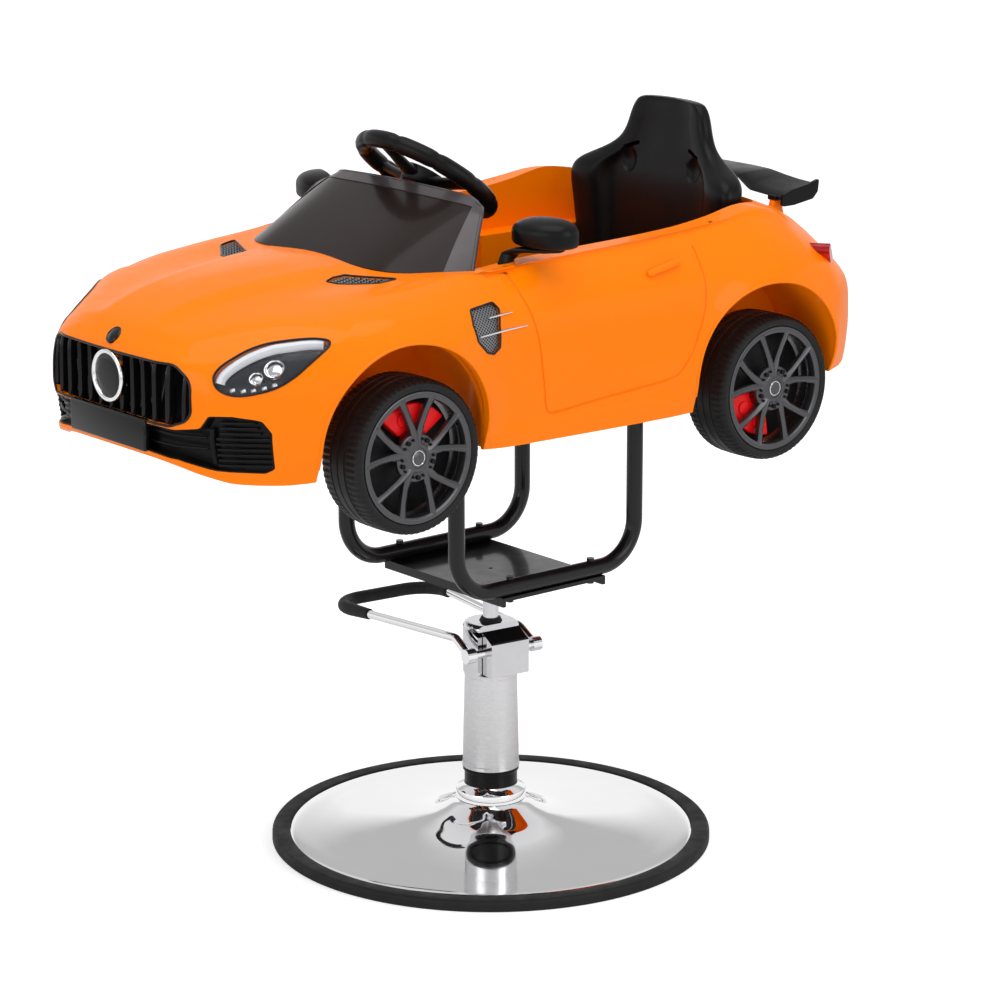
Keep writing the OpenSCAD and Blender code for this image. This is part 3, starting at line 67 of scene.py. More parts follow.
def put(bm, name, finish, body, nodes=(), sharp=38, turn_out=True):
    bmesh.ops.remove_doubles(bm, verts=bm.verts, dist=1e-3)
    if turn_out:
        bmesh.ops.recalc_face_normals(bm, faces=bm.faces)
    bmesh.ops.scale(bm, vec=(MM, MM, MM), verts=bm.verts)
    mesh = bpy.data.meshes.new(name)
    bm.to_mesh(mesh)
    bm.free()
    return dress(mesh, name, finish, body, nodes, sharp)


def pair(name, finish, build, nodes, slot, sharp=38, turn_out=True):
    bm = bmesh.new()
    for s in (1, -1):
        build(bm, s)
    return put(bm, name, finish, "carriage", nodes, sharp, turn_out)


def dress(mesh, name, finish, body, nodes=(), sharp=38):
    mesh.shade_smooth()
    mesh.set_sharp_from_angle(angle=math.radians(sharp))
    piece = bpy.data.objects.new(name, mesh)
    scene.collection.objects.link(piece)
    mesh.materials.clear()
    mesh.materials.append(finish)
    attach(piece, body)
    if nodes:
        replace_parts(piece, *nodes)
    made.append(piece)
    return piece


# %% [markdown]
# Four ways of making a form cover most of this chair. `loft` bridges loops of points, one after the
# other. `tube` sweeps a round section along a path, with a frame that is carried along so that it
# never twists. `lathe` spins a profile, as on a spinning lathe, and `slab` extrudes an outline.

# %% Loft, tube, lathe and slab
def loop_of(bm, points):
    verts = bmesh.ops.create_circle(bm, cap_ends=False, radius=1, segments=len(points))["verts"]
    edges = {e for v in verts for e in v.link_edges}
    for v, p in zip(verts, points):
        v.co = p
    return verts, list(edges)


def bridge_rows(bm, rows, caps=()):
    for a, b in zip(rows, rows[1:]):
        bmesh.ops.bridge_loops(bm, edges=a[1] + b[1])
    for _, edges in caps:
        bmesh.ops.contextual_create(bm, geom=edges)


def loft(bm, loops, closed=False):
    rows = [loop_of(bm, points) for points in loops]
    bridge_rows(bm, rows + rows[:1] if closed else rows, () if closed else (rows[0], rows[-1]))


def carried_frames(path, closed):
    n = len(path)
    ways = [(path[(i + 1) % n] - path[i - 1]).normalized() if closed or 0 < i < n - 1
            else (path[1] - path[0] if i == 0 else path[-1] - path[-2]).normalized() for i in range(n)]
    side = ways[0].orthogonal().normalized()
    out = []
    for way in ways:
        side = (side - way * side.dot(way)).normalized()
        out.append((side.copy(), way.cross(side)))
    return out


def full_turn(count):
    return [2 * math.pi * k / count for k in range(count)]


def tube(bm, path, radius, sides=12, closed=False, flat=1.0):
    path = [Vector(p) for p in path]
    radii = radius if isinstance(radius, (list, tuple)) else [radius] * len(path)
    loops = []
    for p, r, (a, b) in zip(path, radii, carried_frames(path, closed)):
        loops.append([p + r * (math.cos(t) * a + flat * math.sin(t) * b) for t in full_turn(sides)])
    loft(bm, loops, closed)


def lathe(bm, profile, steps=96, place=None):
    verts = [bm.verts.new((r, 0, z)) for r, z in profile]
    edges = [bm.edges.new(pair) for pair in zip(verts, verts[1:])]
    made_now = bmesh.ops.spin(bm, geom=verts + edges, cent=(0, 0, 0), axis=(0, 0, 1), dvec=(0, 0, 0),
                              angle=2 * math.pi, steps=steps, use_merge=True)
    if place is not None:
        fresh = set(verts) | {g for g in made_now["geom_last"] if isinstance(g, bmesh.types.BMVert)}
        grown = list(fresh)
        while grown:
            for e in grown.pop().link_edges:
                for v in e.verts:
                    if v not in fresh:
                        fresh.add(v)
                        grown.append(v)
        bmesh.ops.transform(bm, matrix=place, verts=list(fresh))
    bmesh.ops.remove_doubles(bm, verts=bm.verts, dist=1e-3)


def slab(bm, outline, depth):
    verts = [bm.verts.new(p) for p in outline]
    face = bm.faces.new(verts)
    grown = bmesh.ops.extrude_face_region(bm, geom=[face])["geom"]
    far = [g for g in grown if isinstance(g, bmesh.types.BMVert)]
    bmesh.ops.translate(bm, verts=far, vec=depth)


def block(bm, low, high, round_r=0.0, segments=3):
    low, high = Vector(low), Vector(high)
    place = Matrix.Translation((low + high) / 2) @ Matrix.Diagonal((*(high - low), 1))
    verts = bmesh.ops.create_cube(bm, size=1, matrix=place)["verts"]
    if round_r:
        edges = {e for v in verts for e in v.link_edges}
        bmesh.ops.bevel(bm, geom=list(edges), offset=round_r, offset_type="OFFSET", segments=segments,
                        profile=0.5, affect="EDGES", material=-1)
    return verts


# The smooth curve from b to c, with a before and d after: t runs from 0 to 1
def spline(a, b, c, d, t):
    return 0.5 * (2 * b + t * (c - a) + t * t * (2 * a - 5 * b + 4 * c - d)
                  + t ** 3 * (3 * b - a - 3 * c + d))


def smooth_path(points, steps=8, closed=False):
    points = [Vector(p) for p in points]
    n = len(points)
    out = []
    for i in range(n if closed else n - 1):
        near = [points[(i + k) % n] if closed else points[min(max(i + k, 0), n - 1)]
                for k in (-1, 0, 1, 2)]
        out += [spline(*near, k / steps) for k in range(steps)]
    return out if closed else out + [points[-1]]


def rounded_path(points, radii, steps=8):
    points = [Vector(p) for p in points]
    out = [points[0]]
    for i, r in zip(range(1, len(points) - 1), radii):
        back = (points[i - 1] - points[i]).normalized()
        on = (points[i + 1] - points[i]).normalized()
        reach = r / math.tan(math.acos(max(-1, min(1, back.dot(on)))) / 2)
        a, b = points[i] + back * reach, points[i] + on * reach
        middle = (back + on).normalized()
        centre = points[i] + middle * math.hypot(r, reach)
        u, w = a - centre, b - centre
        swing = u.angle(w)
        for k in range(steps + 1):
            t = k / steps
            arm = math.sin((1 - t) * swing) * u + math.sin(t * swing) * w
            out.append(centre + arm / math.sin(swing))
    return out + [points[-1]]


def moved(x, y, z):
    return Matrix.Translation((x, y, z))


def turned_by(degrees, axis):
    return Matrix.Rotation(math.radians(degrees), 4, axis)


def facing(way):
    return way.to_track_quat("Z", "Y").to_matrix().to_4x4()


# Mirrors a part to the car's right side where sign is -1
def side_of_car(sign):
    return Matrix.Scale(sign, 4, (1, 0, 0))


def move(bm, place):
    bmesh.ops.transform(bm, matrix=place, verts=bm.verts)


# An arc of a circle as (across, up) pairs, from one angle to another in equal steps
def arc(centre, r, angles):
    return [(centre[0] + r * math.cos(math.radians(a)), centre[1] + r * math.sin(math.radians(a)))
            for a in angles]


# A part made on its own is added to the piece, so that a move or a mirror touches nothing else
def add_part(bm, fresh):
    mesh = bpy.data.meshes.new("part")
    fresh.to_mesh(mesh)
    fresh.free()
    bm.from_mesh(mesh)
    bpy.data.meshes.remove(mesh)


def loose_object(bm, name):
    mesh = bpy.data.meshes.new(name)
    bm.to_mesh(mesh)
    bm.free()
    thing = bpy.data.objects.new(name, mesh)
    scene.collection.objects.link(thing)
    return thing


def bmesh_from(thing):
    bm = bmesh.new()
    bm.from_mesh(thing.data)
    bpy.data.objects.remove(thing)
    return bm


print("helpers ready")

# %% [markdown]
# The camera stands where the photographer stood: 50 degrees round from the nose towards the car's
# left side and 15 degrees up, with a long lens, so that the car is hardly foreshortened.

# %% Camera
camera_data = bpy.data.cameras.new("photo_camera")
camera_data.sensor_width = 36
camera_data.lens = 127.56
camera_data.clip_end = 60
camera = bpy.data.objects.new("photo_camera", camera_data)
scene.collection.objects.link(camera)
around, over_floor = math.radians(50.27), math.radians(14.6)
towards = Vector((math.sin(around) * math.cos(over_floor), -math.cos(around) * math.cos(over_floor),
                  math.sin(over_floor)))
camera.location = (3.5473, -2.93183, 1.67267)
camera.rotation_mode = "QUATERNION"
camera.rotation_quaternion = (-towards).to_track_quat("-Z", "Y")
scene.camera = camera
print("camera at", [round(v, 2) for v in camera.location])

# %% [markdown]
# The photograph is a catalogue picture on white. A pale floor, a bright room and three soft boxes
# give that look. Chrome only looks like chrome when it has something dark to reflect, so the room's
# light falls off towards a grey band above the horizon.

# %% Floor, room light and soft boxes
def node_of(tree, kind, **values):
    made_node = tree.nodes.new(kind)
    for key, value in values.items():
        if key in made_node.inputs:
            made_node.inputs[key].default_value = value
        else:
            setattr(made_node, key, value)
    return made_node


scene.view_settings.view_transform = "Standard"
scene.view_settings.look = "None"
room = bpy.data.worlds.new("bright_room")
scene.world = room
room.use_nodes = True
tree = room.node_tree
tree.nodes.clear()
where = node_of(tree, "ShaderNodeTexCoord")
split = node_of(tree, "ShaderNodeSeparateXYZ")
ramp = node_of(tree, "ShaderNodeValToRGB")
light = node_of(tree, "ShaderNodeBackground", Strength=1.0)
out = node_of(tree, "ShaderNodeOutputWorld")
ramp.color_ramp.elements[0].position = 0.0
ramp.color_ramp.elements[0].color = (1.0, 1.0, 1.0, 1)
ramp.color_ramp.elements[1].position = 1.0
ramp.color_ramp.elements[1].color = (0.60, 0.60, 0.62, 1)
for place, shade in ((0.30, 0.95), (0.37, 0.50), (0.47, 0.50), (0.60, 0.72)):
    mark = ramp.color_ramp.elements.new(place)
    mark.color = (shade, shade, shade, 1)
tree.links.new(where.outputs["Generated"], split.inputs[0])
tree.links.new(split.outputs["Z"], ramp.inputs[0])
tree.links.new(ramp.outputs[0], light.inputs["Color"])
tree.links.new(light.outputs[0], out.inputs[0])


def soft_box(name, place, aim, width, height, power):
    lamp = bpy.data.lights.new(name, "AREA")
    lamp.shape = "RECTANGLE"
    lamp.size, lamp.size_y, lamp.energy = width, height, power
    box = bpy.data.objects.new(name, lamp)
    box.location = place
    box.rotation_mode = "QUATERNION"
    box.rotation_quaternion = (Vector(aim) - Vector(place)).to_track_quat("-Z", "Y")
    scene.collection.objects.link(box)


soft_box("soft_box_over", (0.4, -0.6, 3.4), (0, 0, 0.6), 2.6, 2.6, 40)
soft_box("soft_box_left", (3.4, 0.6, 1.9), (0, 0, 0.6), 1.6, 2.2, 22)
soft_box("soft_box_nose", (0.4, -3.6, 1.7), (0, -0.2, 0.6), 2.2, 1.6, 16)
floor_bm = bmesh.new()
bmesh.ops.create_grid(floor_bm, x_segments=1, y_segments=1, size=9)
floor_mesh = bpy.data.meshes.new("studio_floor")
floor_bm.to_mesh(floor_mesh)
floor_bm.free()
floor = bpy.data.objects.new("studio_floor", floor_mesh)
scene.collection.objects.link(floor)
print("room, three soft boxes and a floor")

# %% [markdown]
# One helper makes most finishes. A slow noise varies the colour a little, a finer one varies how
# polished the surface is, and the finest one is the bump: orange peel in paint, grain in plastic,
# brush marks in steel when it is stretched. Sizes are in millimetres.

# %% The finish helper
def finish_of(name, colour, rough, metal=0.0, tint=0.05, tint_mm=60, wear=0.06, wear_mm=25, bump=0.05,
              bump_mm=1.2, stretch=(1, 1, 1), coat=0.0, coat_rough=0.04, bump_depth=0.05, **sockets):
    mat = bpy.data.materials.new(name)
    mat.use_nodes = True
    t = mat.node_tree
    shader = t.nodes["Principled BSDF"]
    shader.inputs["Metallic"].default_value = metal
    shader.inputs["Coat Weight"].default_value = coat
    shader.inputs["Coat Roughness"].default_value = coat_rough
    for key, value in sockets.items():
        shader.inputs[key.replace("_", " ")].default_value = value
    coord = node_of(t, "ShaderNodeTexCoord")
    grid = node_of(t, "ShaderNodeMapping")
    grid.inputs["Scale"].default_value = stretch
    t.links.new(coord.outputs["Object"], grid.inputs[0])

    def noise(size_mm, detail):
        n = node_of(t, "ShaderNodeTexNoise", Scale=1000.0 / size_mm, Detail=detail, Roughness=0.55)
        t.links.new(grid.outputs[0], n.inputs["Vector"])
        return n.outputs["Fac"]

    hue = node_of(t, "ShaderNodeMixRGB", blend_type="MIX")
    hue.inputs[1].default_value = (*[c * (1 - tint) for c in colour], 1)
    hue.inputs[2].default_value = (*[min(1.0, c * (1 + tint)) for c in colour], 1)
    t.links.new(noise(tint_mm, 3), hue.inputs[0])
    t.links.new(hue.outputs[0], shader.inputs["Base Color"])
    polish = node_of(t, "ShaderNodeMapRange")
    polish.inputs["From Min"].default_value = 0.3
    polish.inputs["From Max"].default_value = 0.7
    polish.inputs["To Min"].default_value = max(0.01, rough - wear)
    polish.inputs["To Max"].default_value = min(1.0, rough + wear)
    t.links.new(noise(wear_mm, 4), polish.inputs["Value"])
    t.links.new(polish.outputs[0], shader.inputs["Roughness"])
    relief = node_of(t, "ShaderNodeBump", Strength=bump, Distance=bump_depth * MM)
    t.links.new(noise(bump_mm, 3), relief.inputs["Height"])
    t.links.new(relief.outputs[0], shader.inputs["Normal"])
    return mat


floor.data.materials.append(finish_of("pale_floor", (0.90, 0.90, 0.90), 0.7, tint=0.01, wear=0.05,
                                      bump=0.02,
                                      Emission_Color=(1, 1, 1, 1)))
nodes = floor.data.materials[0].node_tree
seen = node_of(nodes, "ShaderNodeLightPath")
glow = node_of(nodes, "ShaderNodeMath", operation="MULTIPLY")
glow.inputs[1].default_value = 0.5
nodes.links.new(seen.outputs["Is Camera Ray"], glow.inputs[0])
nodes.links.new(glow.outputs[0], nodes.nodes["Principled BSDF"].inputs["Emission Strength"])
print("floor finished")

# %% [markdown]
# ## Finishes
# The shell is injection-moulded plastic under a glossy orange coat, the column is chrome-plated and
# brushed steel, and the trim is black plastic of three kinds: satin, gloss and rubber.

# %% Finishes of the shell, the metal and the plastics
orange_gloss = finish_of("orange_gloss", (0.98, 0.205, 0.0), 0.42, tint=0.02, tint_mm=140, wear=0.04,
                         bump=0.02, bump_mm=3.0, coat=0.20, coat_rough=0.05, Specular_IOR_Level=0.05)
chrome = finish_of("chrome_plate", (0.92, 0.92, 0.93), 0.045, metal=1.0, tint=0.02, wear=0.03, bump=0.02)
# A darker copy of the chrome: its lower colour paints the darker reflections of the pump head, cover and
# ram
chrome_with_painted_dark_reflection = finish_of("chrome_with_painted_dark_reflection", (0.66, 0.66, 0.68), 0.07, metal=1.0, tint=0.10, tint_mm=30,
                        wear=0.06,
                        bump=0.05)
brushed = finish_of("brushed_steel", (0.70, 0.70, 0.71), 0.30, metal=1.0, tint=0.10, tint_mm=9, wear=0.08,
                    wear_mm=4, bump=0.10, bump_mm=2.0, stretch=(0.25, 0.25, 9))
steel_paint = finish_of("painted_steel_black", (0.007, 0.007, 0.008), 0.34, tint=0.2, coat=0.45,
                        coat_rough=0.10, bump=0.10, bump_mm=1.6, Specular_IOR_Level=0.10)
bare_steel = finish_of("bare_steel", (0.52, 0.52, 0.53), 0.32, metal=1.0, tint=0.08, wear=0.10)
satin_black = finish_of("satin_black_plastic", (0.004, 0.0035, 0.004), 0.34, tint=0.12, bump=0.20,
                        bump_mm=0.9, Specular_IOR_Level=0.16)
gloss_black = finish_of("gloss_black_plastic", (0.004, 0.004, 0.005), 0.16, tint=0.1, coat=0.35,
                        wear=0.04, bump=0.02, Specular_IOR_Level=0.15)
rubber = finish_of("black_rubber", (0.012, 0.012, 0.013), 0.60, tint=0.15, wear=0.10, bump=0.25,
                   bump_mm=1.4, Specular_IOR_Level=0.25)
tyre_black = finish_of("tyre_black", (0.010, 0.010, 0.010), 0.48, tint=0.18, wear=0.10, bump=0.18,
                       bump_mm=1.1, Specular_IOR_Level=0.20)
wheel_grey = finish_of("wheel_grey_satin", (0.085, 0.085, 0.090), 0.30, metal=0.8, tint=0.06, coat=0.15,
                       coat_rough=0.12, bump=0.05)
smoked = finish_of("smoked_screen", (0.017, 0.011, 0.010), 0.22, tint=0.25, tint_mm=260, wear=0.04,
                   coat=0.08,
                   bump=0.01, Specular_IOR_Level=0.10)
border_grey = finish_of("screen_border_grey", (0.038, 0.030, 0.033), 0.34, tint=0.25, tint_mm=160, coat=0.2)
bright_trim = finish_of("bright_trim", (0.82, 0.82, 0.84), 0.12, metal=1.0, tint=0.02, wear=0.05, bump=0.02)
lamp_silver = finish_of("lamp_silver", (0.60, 0.61, 0.64), 0.16, metal=0.9, tint=0.06, tint_mm=20)
lamp_white = finish_of("lamp_white", (0.88, 0.90, 0.94), 0.20, tint=0.03, coat=0.6)
clear_lens = finish_of("clear_lens", (0.10, 0.11, 0.13), 0.03, tint=0.01, wear=0.01, coat=1.0, Alpha=0.14)
red_lens = finish_of("red_lens", (0.62, 0.006, 0.012), 0.14, tint=0.08, coat=0.5)
red_plastic = finish_of("red_plastic", (0.80, 0.004, 0.006), 0.32, tint=0.08, coat=0.1, bump=0.08,
                        Specular_IOR_Level=0.2)
mirror_film = finish_of("mirror_film", (0.92, 0.93, 0.95), 0.04, metal=1.0, tint=0.01, wear=0.02,
                        bump=0.005)
print("finishes", len(bpy.data.materials))

# %% [markdown]
# ## The body's form
# The shell is drawn as a boat is, from cross-sections. Each row of shares gives one section: its
# place along the car, then heights and half widths of the sill, the widest point, the shoulder, the
# panel's edge and the centre line. A smooth curve runs through the rows and through each section's
# corners, so the surface has no flats between stations.

# %% Sections of the shell
BODY_L, BODY_H, HALF_W, NOSE_Y, BODY_Z = 1101, 260, 290, -604, 621
SECTIONS = [
    (0.000, 0.115, 0.30, 0.34, 0.262, 0.30, 0.519, 0.17, 0.546, 0.550),
    (0.004, 0.092, 0.39, 0.43, 0.262, 0.37, 0.542, 0.21, 0.577, 0.592),
    (0.013, 0.069, 0.47, 0.50, 0.262, 0.43, 0.562, 0.24, 0.619, 0.638),
    (0.026, 0.038, 0.54, 0.58, 0.262, 0.48, 0.581, 0.27, 0.658, 0.681),
    (0.045, 0.008, 0.63, 0.66, 0.269, 0.53, 0.608, 0.29, 0.696, 0.727),
    (0.067, 0.000, 0.71, 0.73, 0.277, 0.59, 0.631, 0.32, 0.731, 0.762),
    (0.094, 0.000, 0.79, 0.83, 0.292, 0.69, 0.646, 0.34, 0.758, 0.792),
    (0.126, 0.015, 0.86, 0.90, 0.319, 0.77, 0.681, 0.37, 0.781, 0.819),
    (0.167, 0.046, 0.88, 0.95, 0.346, 0.79, 0.727, 0.39, 0.800, 0.842),
    (0.208, 0.069, 0.90, 0.98, 0.369, 0.80, 0.762, 0.41, 0.815, 0.858),
    (0.242, 0.069, 0.91, 0.99, 0.377, 0.80, 0.781, 0.43, 0.827, 0.865),
    (0.285, 0.069, 0.92, 0.99, 0.377, 0.79, 0.804, 0.46, 0.838, 0.869),
    (0.331, 0.038, 0.92, 0.97, 0.377, 0.78, 0.819, 0.59, 0.846, 0.869),
    (0.376, 0.027, 0.92, 0.94, 0.377, 0.77, 0.831, 0.71, 0.846, 0.862),
    (0.431, 0.023, 0.92, 0.93, 0.358, 0.78, 0.842, 0.71, 0.865, 0.877),
    (0.512, 0.015, 0.91, 0.92, 0.346, 0.79, 0.854, 0.71, 0.877, 0.888),
    (0.603, 0.012, 0.91, 0.93, 0.346, 0.79, 0.865, 0.71, 0.888, 0.900),
    (0.676, 0.015, 0.91, 0.94, 0.354, 0.79, 0.881, 0.71, 0.904, 0.915),
    (0.730, 0.054, 0.92, 0.97, 0.369, 0.80, 0.900, 0.71, 0.931, 0.946),
    (0.787, 0.077, 0.94, 1.00, 0.385, 0.80, 0.912, 0.68, 0.973, 0.996),
    (0.839, 0.085, 0.94, 0.99, 0.385, 0.79, 0.858, 0.63, 0.940, 0.980),
    (0.880, 0.088, 0.91, 0.97, 0.377, 0.74, 0.790, 0.57, 0.872, 0.916),
    (0.912, 0.088, 0.86, 0.90, 0.369, 0.69, 0.728, 0.50, 0.806, 0.858),
    (0.939, 0.092, 0.79, 0.82, 0.362, 0.62, 0.673, 0.43, 0.754, 0.800),
    (0.962, 0.100, 0.70, 0.73, 0.354, 0.54, 0.608, 0.36, 0.681, 0.727),
    (0.980, 0.115, 0.59, 0.62, 0.346, 0.45, 0.546, 0.29, 0.612, 0.650),
    (0.994, 0.138, 0.45, 0.48, 0.338, 0.34, 0.485, 0.20, 0.535, 0.565),
    (1.000, 0.162, 0.33, 0.34, 0.331, 0.24, 0.431, 0.14, 0.469, 0.485)]


def along(s):
    return NOSE_Y + s * BODY_L


def across(s):
    return s * HALF_W


def above(s):
    return BODY_Z + s * BODY_H


def ease(value, low, high):
    t = max(0.0, min(1.0, (value - low) / (high - low)))
    return t * t * (3 - 2 * t)


def half_corners(s):
    sill, wide, crest = (across(s[2]), above(s[1])), (across(s[3]), above(s[4])), (across(s[5]),
                                                                                   above(s[6]))
    return [sill, (sill[0] + 0.7 * (wide[0] - sill[0]), sill[1] + 0.42 * (wide[1] - sill[1])), wide,
            (crest[0] + 0.86 * (wide[0] - crest[0]), wide[1] + 0.58 * (crest[1] - wide[1])), crest,
            (across(s[7]), above(s[8])), (0, above(s[9]))]


def half_curve(s, steps):
    c = [Vector((x, 0, z)) for x, z in half_corners(s)]
    mirrored_end = Vector((-c[-2].x, 0, c[-2].z))
    curve = []
    for i in range(len(c) - 1):
        a, b, d = c[max(i - 1, 0)], c[i], c[i + 1]
        e = c[i + 2] if i + 2 < len(c) else mirrored_end
        curve += [spline(a, b, d, e, k / steps) for k in range(steps)]
    return curve + [c[-1]]


def stations(between_rows):
    rows = [tuple(r) for r in SECTIONS]
    out = []
    for i in range(len(rows) - 1):
        near = [rows[max(i - 1, 0)], rows[i], rows[i + 1], rows[min(i + 2, len(rows) - 1)]]
        for k in range(between_rows):
            t = k / between_rows
            row = [spline(*four, t) for four in zip(*near)]
            row[0] = rows[i][0] + t * (rows[i + 1][0] - rows[i][0])
            out.append(row)
    return out + [rows[-1]]


print("sections", len(SECTIONS), "stations", len(stations(4)))

# %% [markdown]
# The photograph shows soft lines that no cross-section alone gives: a raised hood between two
# creases, a lip where the hood ends over the grille and lamps, and flared edges round the wheel
# arches. `sculpt` moves each point of the skin by a few millimetres to make them.

# %% Creases, lip and flares
FRONT_ARCH, REAR_ARCH = (-353.0, 661.0, 120.5), (245.0, 661.0, 122.4)
HOOD_LIP = [Vector(p) for p in ((0, -587, 790), (51, -584, 789), (94, -578, 786), (128, -564, 784),
                                (154, -542, 786), (171, -521, 791), (192, -489, 798), (219, -460, 801))]


def nearest_on(line, p):
    best = None
    for a, b in zip(line, line[1:]):
        t = max(0.0, min(1.0, (p - a).dot(b - a) / (b - a).length_squared))
        q = a + t * (b - a)
        if best is None or (p - q).length < (p - best).length:
            best = q
    return best


def sculpt(p, normal):
    side, sign = abs(p.x), (1 if p.x >= 0 else -1)
    move = Vector((0, 0, 0))
    if p.y < -270 and normal.z > 0.3:
        strength = ease(p.y, -592, -530) * (1 - ease(p.y, -340, -288))
        crest = 58 + (p.y + 545) * 0.12
        gap = side - crest
        move.z -= 5.5 * strength * ease(gap, -3, 15) * (1 - ease(gap, 18, 120))
        move.z += 1.5 * strength * ease(gap, -26, -4) * (1 - ease(gap, -4, 6))
    if p.y < -430 and p.z > 740:
        q = nearest_on(HOOD_LIP, Vector((side, p.y, p.z)))
        gap = (Vector((side, p.y, p.z)) - q).dot(Vector((0, 0.55, 0.83)))
        if (Vector((side, p.y, p.z)) - q).length < 60:
            move += normal * 2.6 * ease(gap, -4, 4) * (1 - ease(gap, 8, 55))
    if side > 150 and abs(normal.x) > 0.4:
        for y, z, r in (FRONT_ARCH, REAR_ARCH):
            away = math.hypot(p.y - y, max(p.z - z, 0)) - r
            move.x += sign * 3.6 * (1 - ease(away, 0, 24)) * ease(p.z, 625, 660)
        move.x += sign * 2.5 * (1 - ease(p.z, 648, 656)) * ease(p.y, -225, -205) * (1 - ease(p.y, 90, 110))
    return p + move


def skin_loops(depth=0.0, steps=8, between_rows=4, foot=0.0):
    rows = stations(between_rows)
    middle, span = along(0.5), BODY_L
    loops = []
    for s in rows:
        half = half_curve(s, steps)
        y = middle + (along(s[0]) - middle) * (span - 2 * depth) / span
        flat = []
        for i, p in enumerate(half):
            a, b = half[max(i - 1, 0)], half[min(i + 1, len(half) - 1)]
            run = (b - a).normalized() if i < len(half) - 1 else Vector((-1, 0, 0))
            n = Vector((run.z, 0, -run.x))
            q = Vector((p.x, y, p.z)) - depth * n
            if i == len(half) - 1:
                q.x = 0
            flat.append(sculpt(q, n) if not depth else q)
        ring = flat + [Vector((-p.x, p.y, p.z)) for p in reversed(flat[:-1])]
        if foot:
            ring = [ring[0] - Vector((0, 0, foot))] + ring + [ring[-1] - Vector((0, 0, foot))]
        loops.append(ring)
    return loops


outer = bmesh.new()
loft(outer, skin_loops())
bmesh.ops.recalc_face_normals(outer, faces=outer.faces)
skin_tree = BVHTree.FromBMesh(outer)
print("skin", len(outer.verts), "points, volume", round(outer.calc_volume() / 1e6, 1), "litres")

# %% [markdown]
# ## Cutting the openings
# The shell is a hollow moulding 5 mm thick. As in the mould, an inner form is taken out of the outer
# one, and the tub and the wheel wells keep their own walls. Each opening is a solid that a Boolean
# modifier subtracts; the manifold solver is exact and fast on closed meshes.

# %% Cutters
WALL = 5.0
CUT_LOW, CUT_TOP = 361, 1100


def well(bm, x0, x1, arch, grow=0.0, low=380):
    y, z, r = arch
    r += grow
    curve = [(x0, y + r * math.cos(math.pi * k / 40), z + r * math.sin(math.pi * k / 40))
             for k in range(41)]
    slab(bm, [(x0, y + r, low)] + curve + [(x0, y - r, low)], (x1 - x0, 0, 0))


def grown(outline, gap):
    pts = [Vector(p) for p in outline]
    area = sum(a.x * b.y - b.x * a.y for a, b in zip(pts, pts[1:] + pts[:1]))
    sign = 1 if area > 0 else -1
    out = []
    for a, b, c in zip(pts[-1:] + pts[:-1], pts, pts[1:] + pts[:1]):
        u, v = (b - a).normalized(), (c - b).normalized()
        n = Vector((u.y + v.y, -u.x - v.x)).normalized() * sign
        out.append(b + n * gap / max(0.5, n.dot(Vector((u.y, -u.x)) * sign)))
    return out


def flat_points(points):
    return [Vector((p.x, p.y)) for p in points]


def rounded_outline(points, radii, steps=6):
    n = len(points)
    out = []
    for i in range(n):
        a, b, c = (Vector((*points[(i + k) % n], 0)) for k in (-1, 0, 1))
        r = radii[i] if isinstance(radii, (list, tuple)) else radii
        corner = rounded_path([a, b, c], [r], steps)[1:-1] if r else [b]
        out += flat_points(corner)
    return out


cowl = smooth_path([(-197, -179, 0), (-174, -212, 0), (-136, -249, 0), (-96, -269, 0), (-40, -279, 0),
                    (0, -280.5, 0), (40, -279, 0), (96, -269, 0), (136, -249, 0), (174, -212, 0),
                    (197, -179, 0)], 4)
cockpit_outline = flat_points(cowl) + [Vector((197, 0))] + \
    [Vector(p) for p in arc((136.4, 262.4), 60.6, range(0, 91, 10))] + \
    [Vector((-136.4 - 60.6 * math.sin(math.radians(a)), 262.4 + 60.6 * math.cos(math.radians(a))))
     for a in range(0, 91, 10)] + [Vector((-197, 0))]
tub_outline = [Vector(p) for p in ((-197, -194.4), (197, -194.4), (197, 115.1), (158, 115.1), (158, 319),
                                   (-158, 319), (-158, 115.1), (-197, 115.1))]
TUB_STEP = 797.4


def upright(bm, outline, low, high):
    slab(bm, [(p.x, p.y, low) for p in outline], (0, 0, high - low))


def cutter(build, name="cutter"):
    bm = bmesh.new()
    build(bm)
    bmesh.ops.recalc_face_normals(bm, faces=bm.faces)
    return loose_object(bm, name)


def cut(body, *tools):
    for tool in tools:
        step = body.modifiers.new("cut", "BOOLEAN")
        step.operation, step.solver, step.object = "DIFFERENCE", "MANIFOLD", tool
    bpy.context.view_layer.update()
    result = bpy.data.meshes.new_from_object(body.evaluated_get(bpy.context.evaluated_depsgraph_get()))
    body.modifiers.clear()
    body.data = result
    for tool in tools:
        bpy.data.objects.remove(tool)
    return body


def both_sides(build):
    return [cutter(lambda bm: build(bm, 1)), cutter(lambda bm: build(bm, -1))]


hollow = cutter(lambda bm: loft(bm, skin_loops(WALL + 3, 5, 2, 260)), "hollow")
keep = [cutter(lambda bm, s=s: well(bm, s * (150 - WALL), s * (262 + WALL), (*FRONT_ARCH[:2], 130), WALL))
        for s in (1, -1)]
keep += [cutter(lambda bm, s=s: well(bm, s * (172 - WALL), s * 600, REAR_ARCH, WALL)) for s in (1, -1)]
keep += [cutter(lambda bm: upright(bm, grown(cockpit_outline, WALL), TUB_STEP - WALL, CUT_TOP)),
         cutter(lambda bm: upright(bm, grown(tub_outline, WALL), CUT_LOW, CUT_TOP))]
cut(hollow, *keep)
print("hollow", len(hollow.data.polygons), "faces")

# %% [markdown]
# The lamps, vents and intakes sit in pockets. Their outlines are measured in the photograph: in the
# lamp's own slanted plane, in plan for the hood vents, and from the front for the grille and mouth.

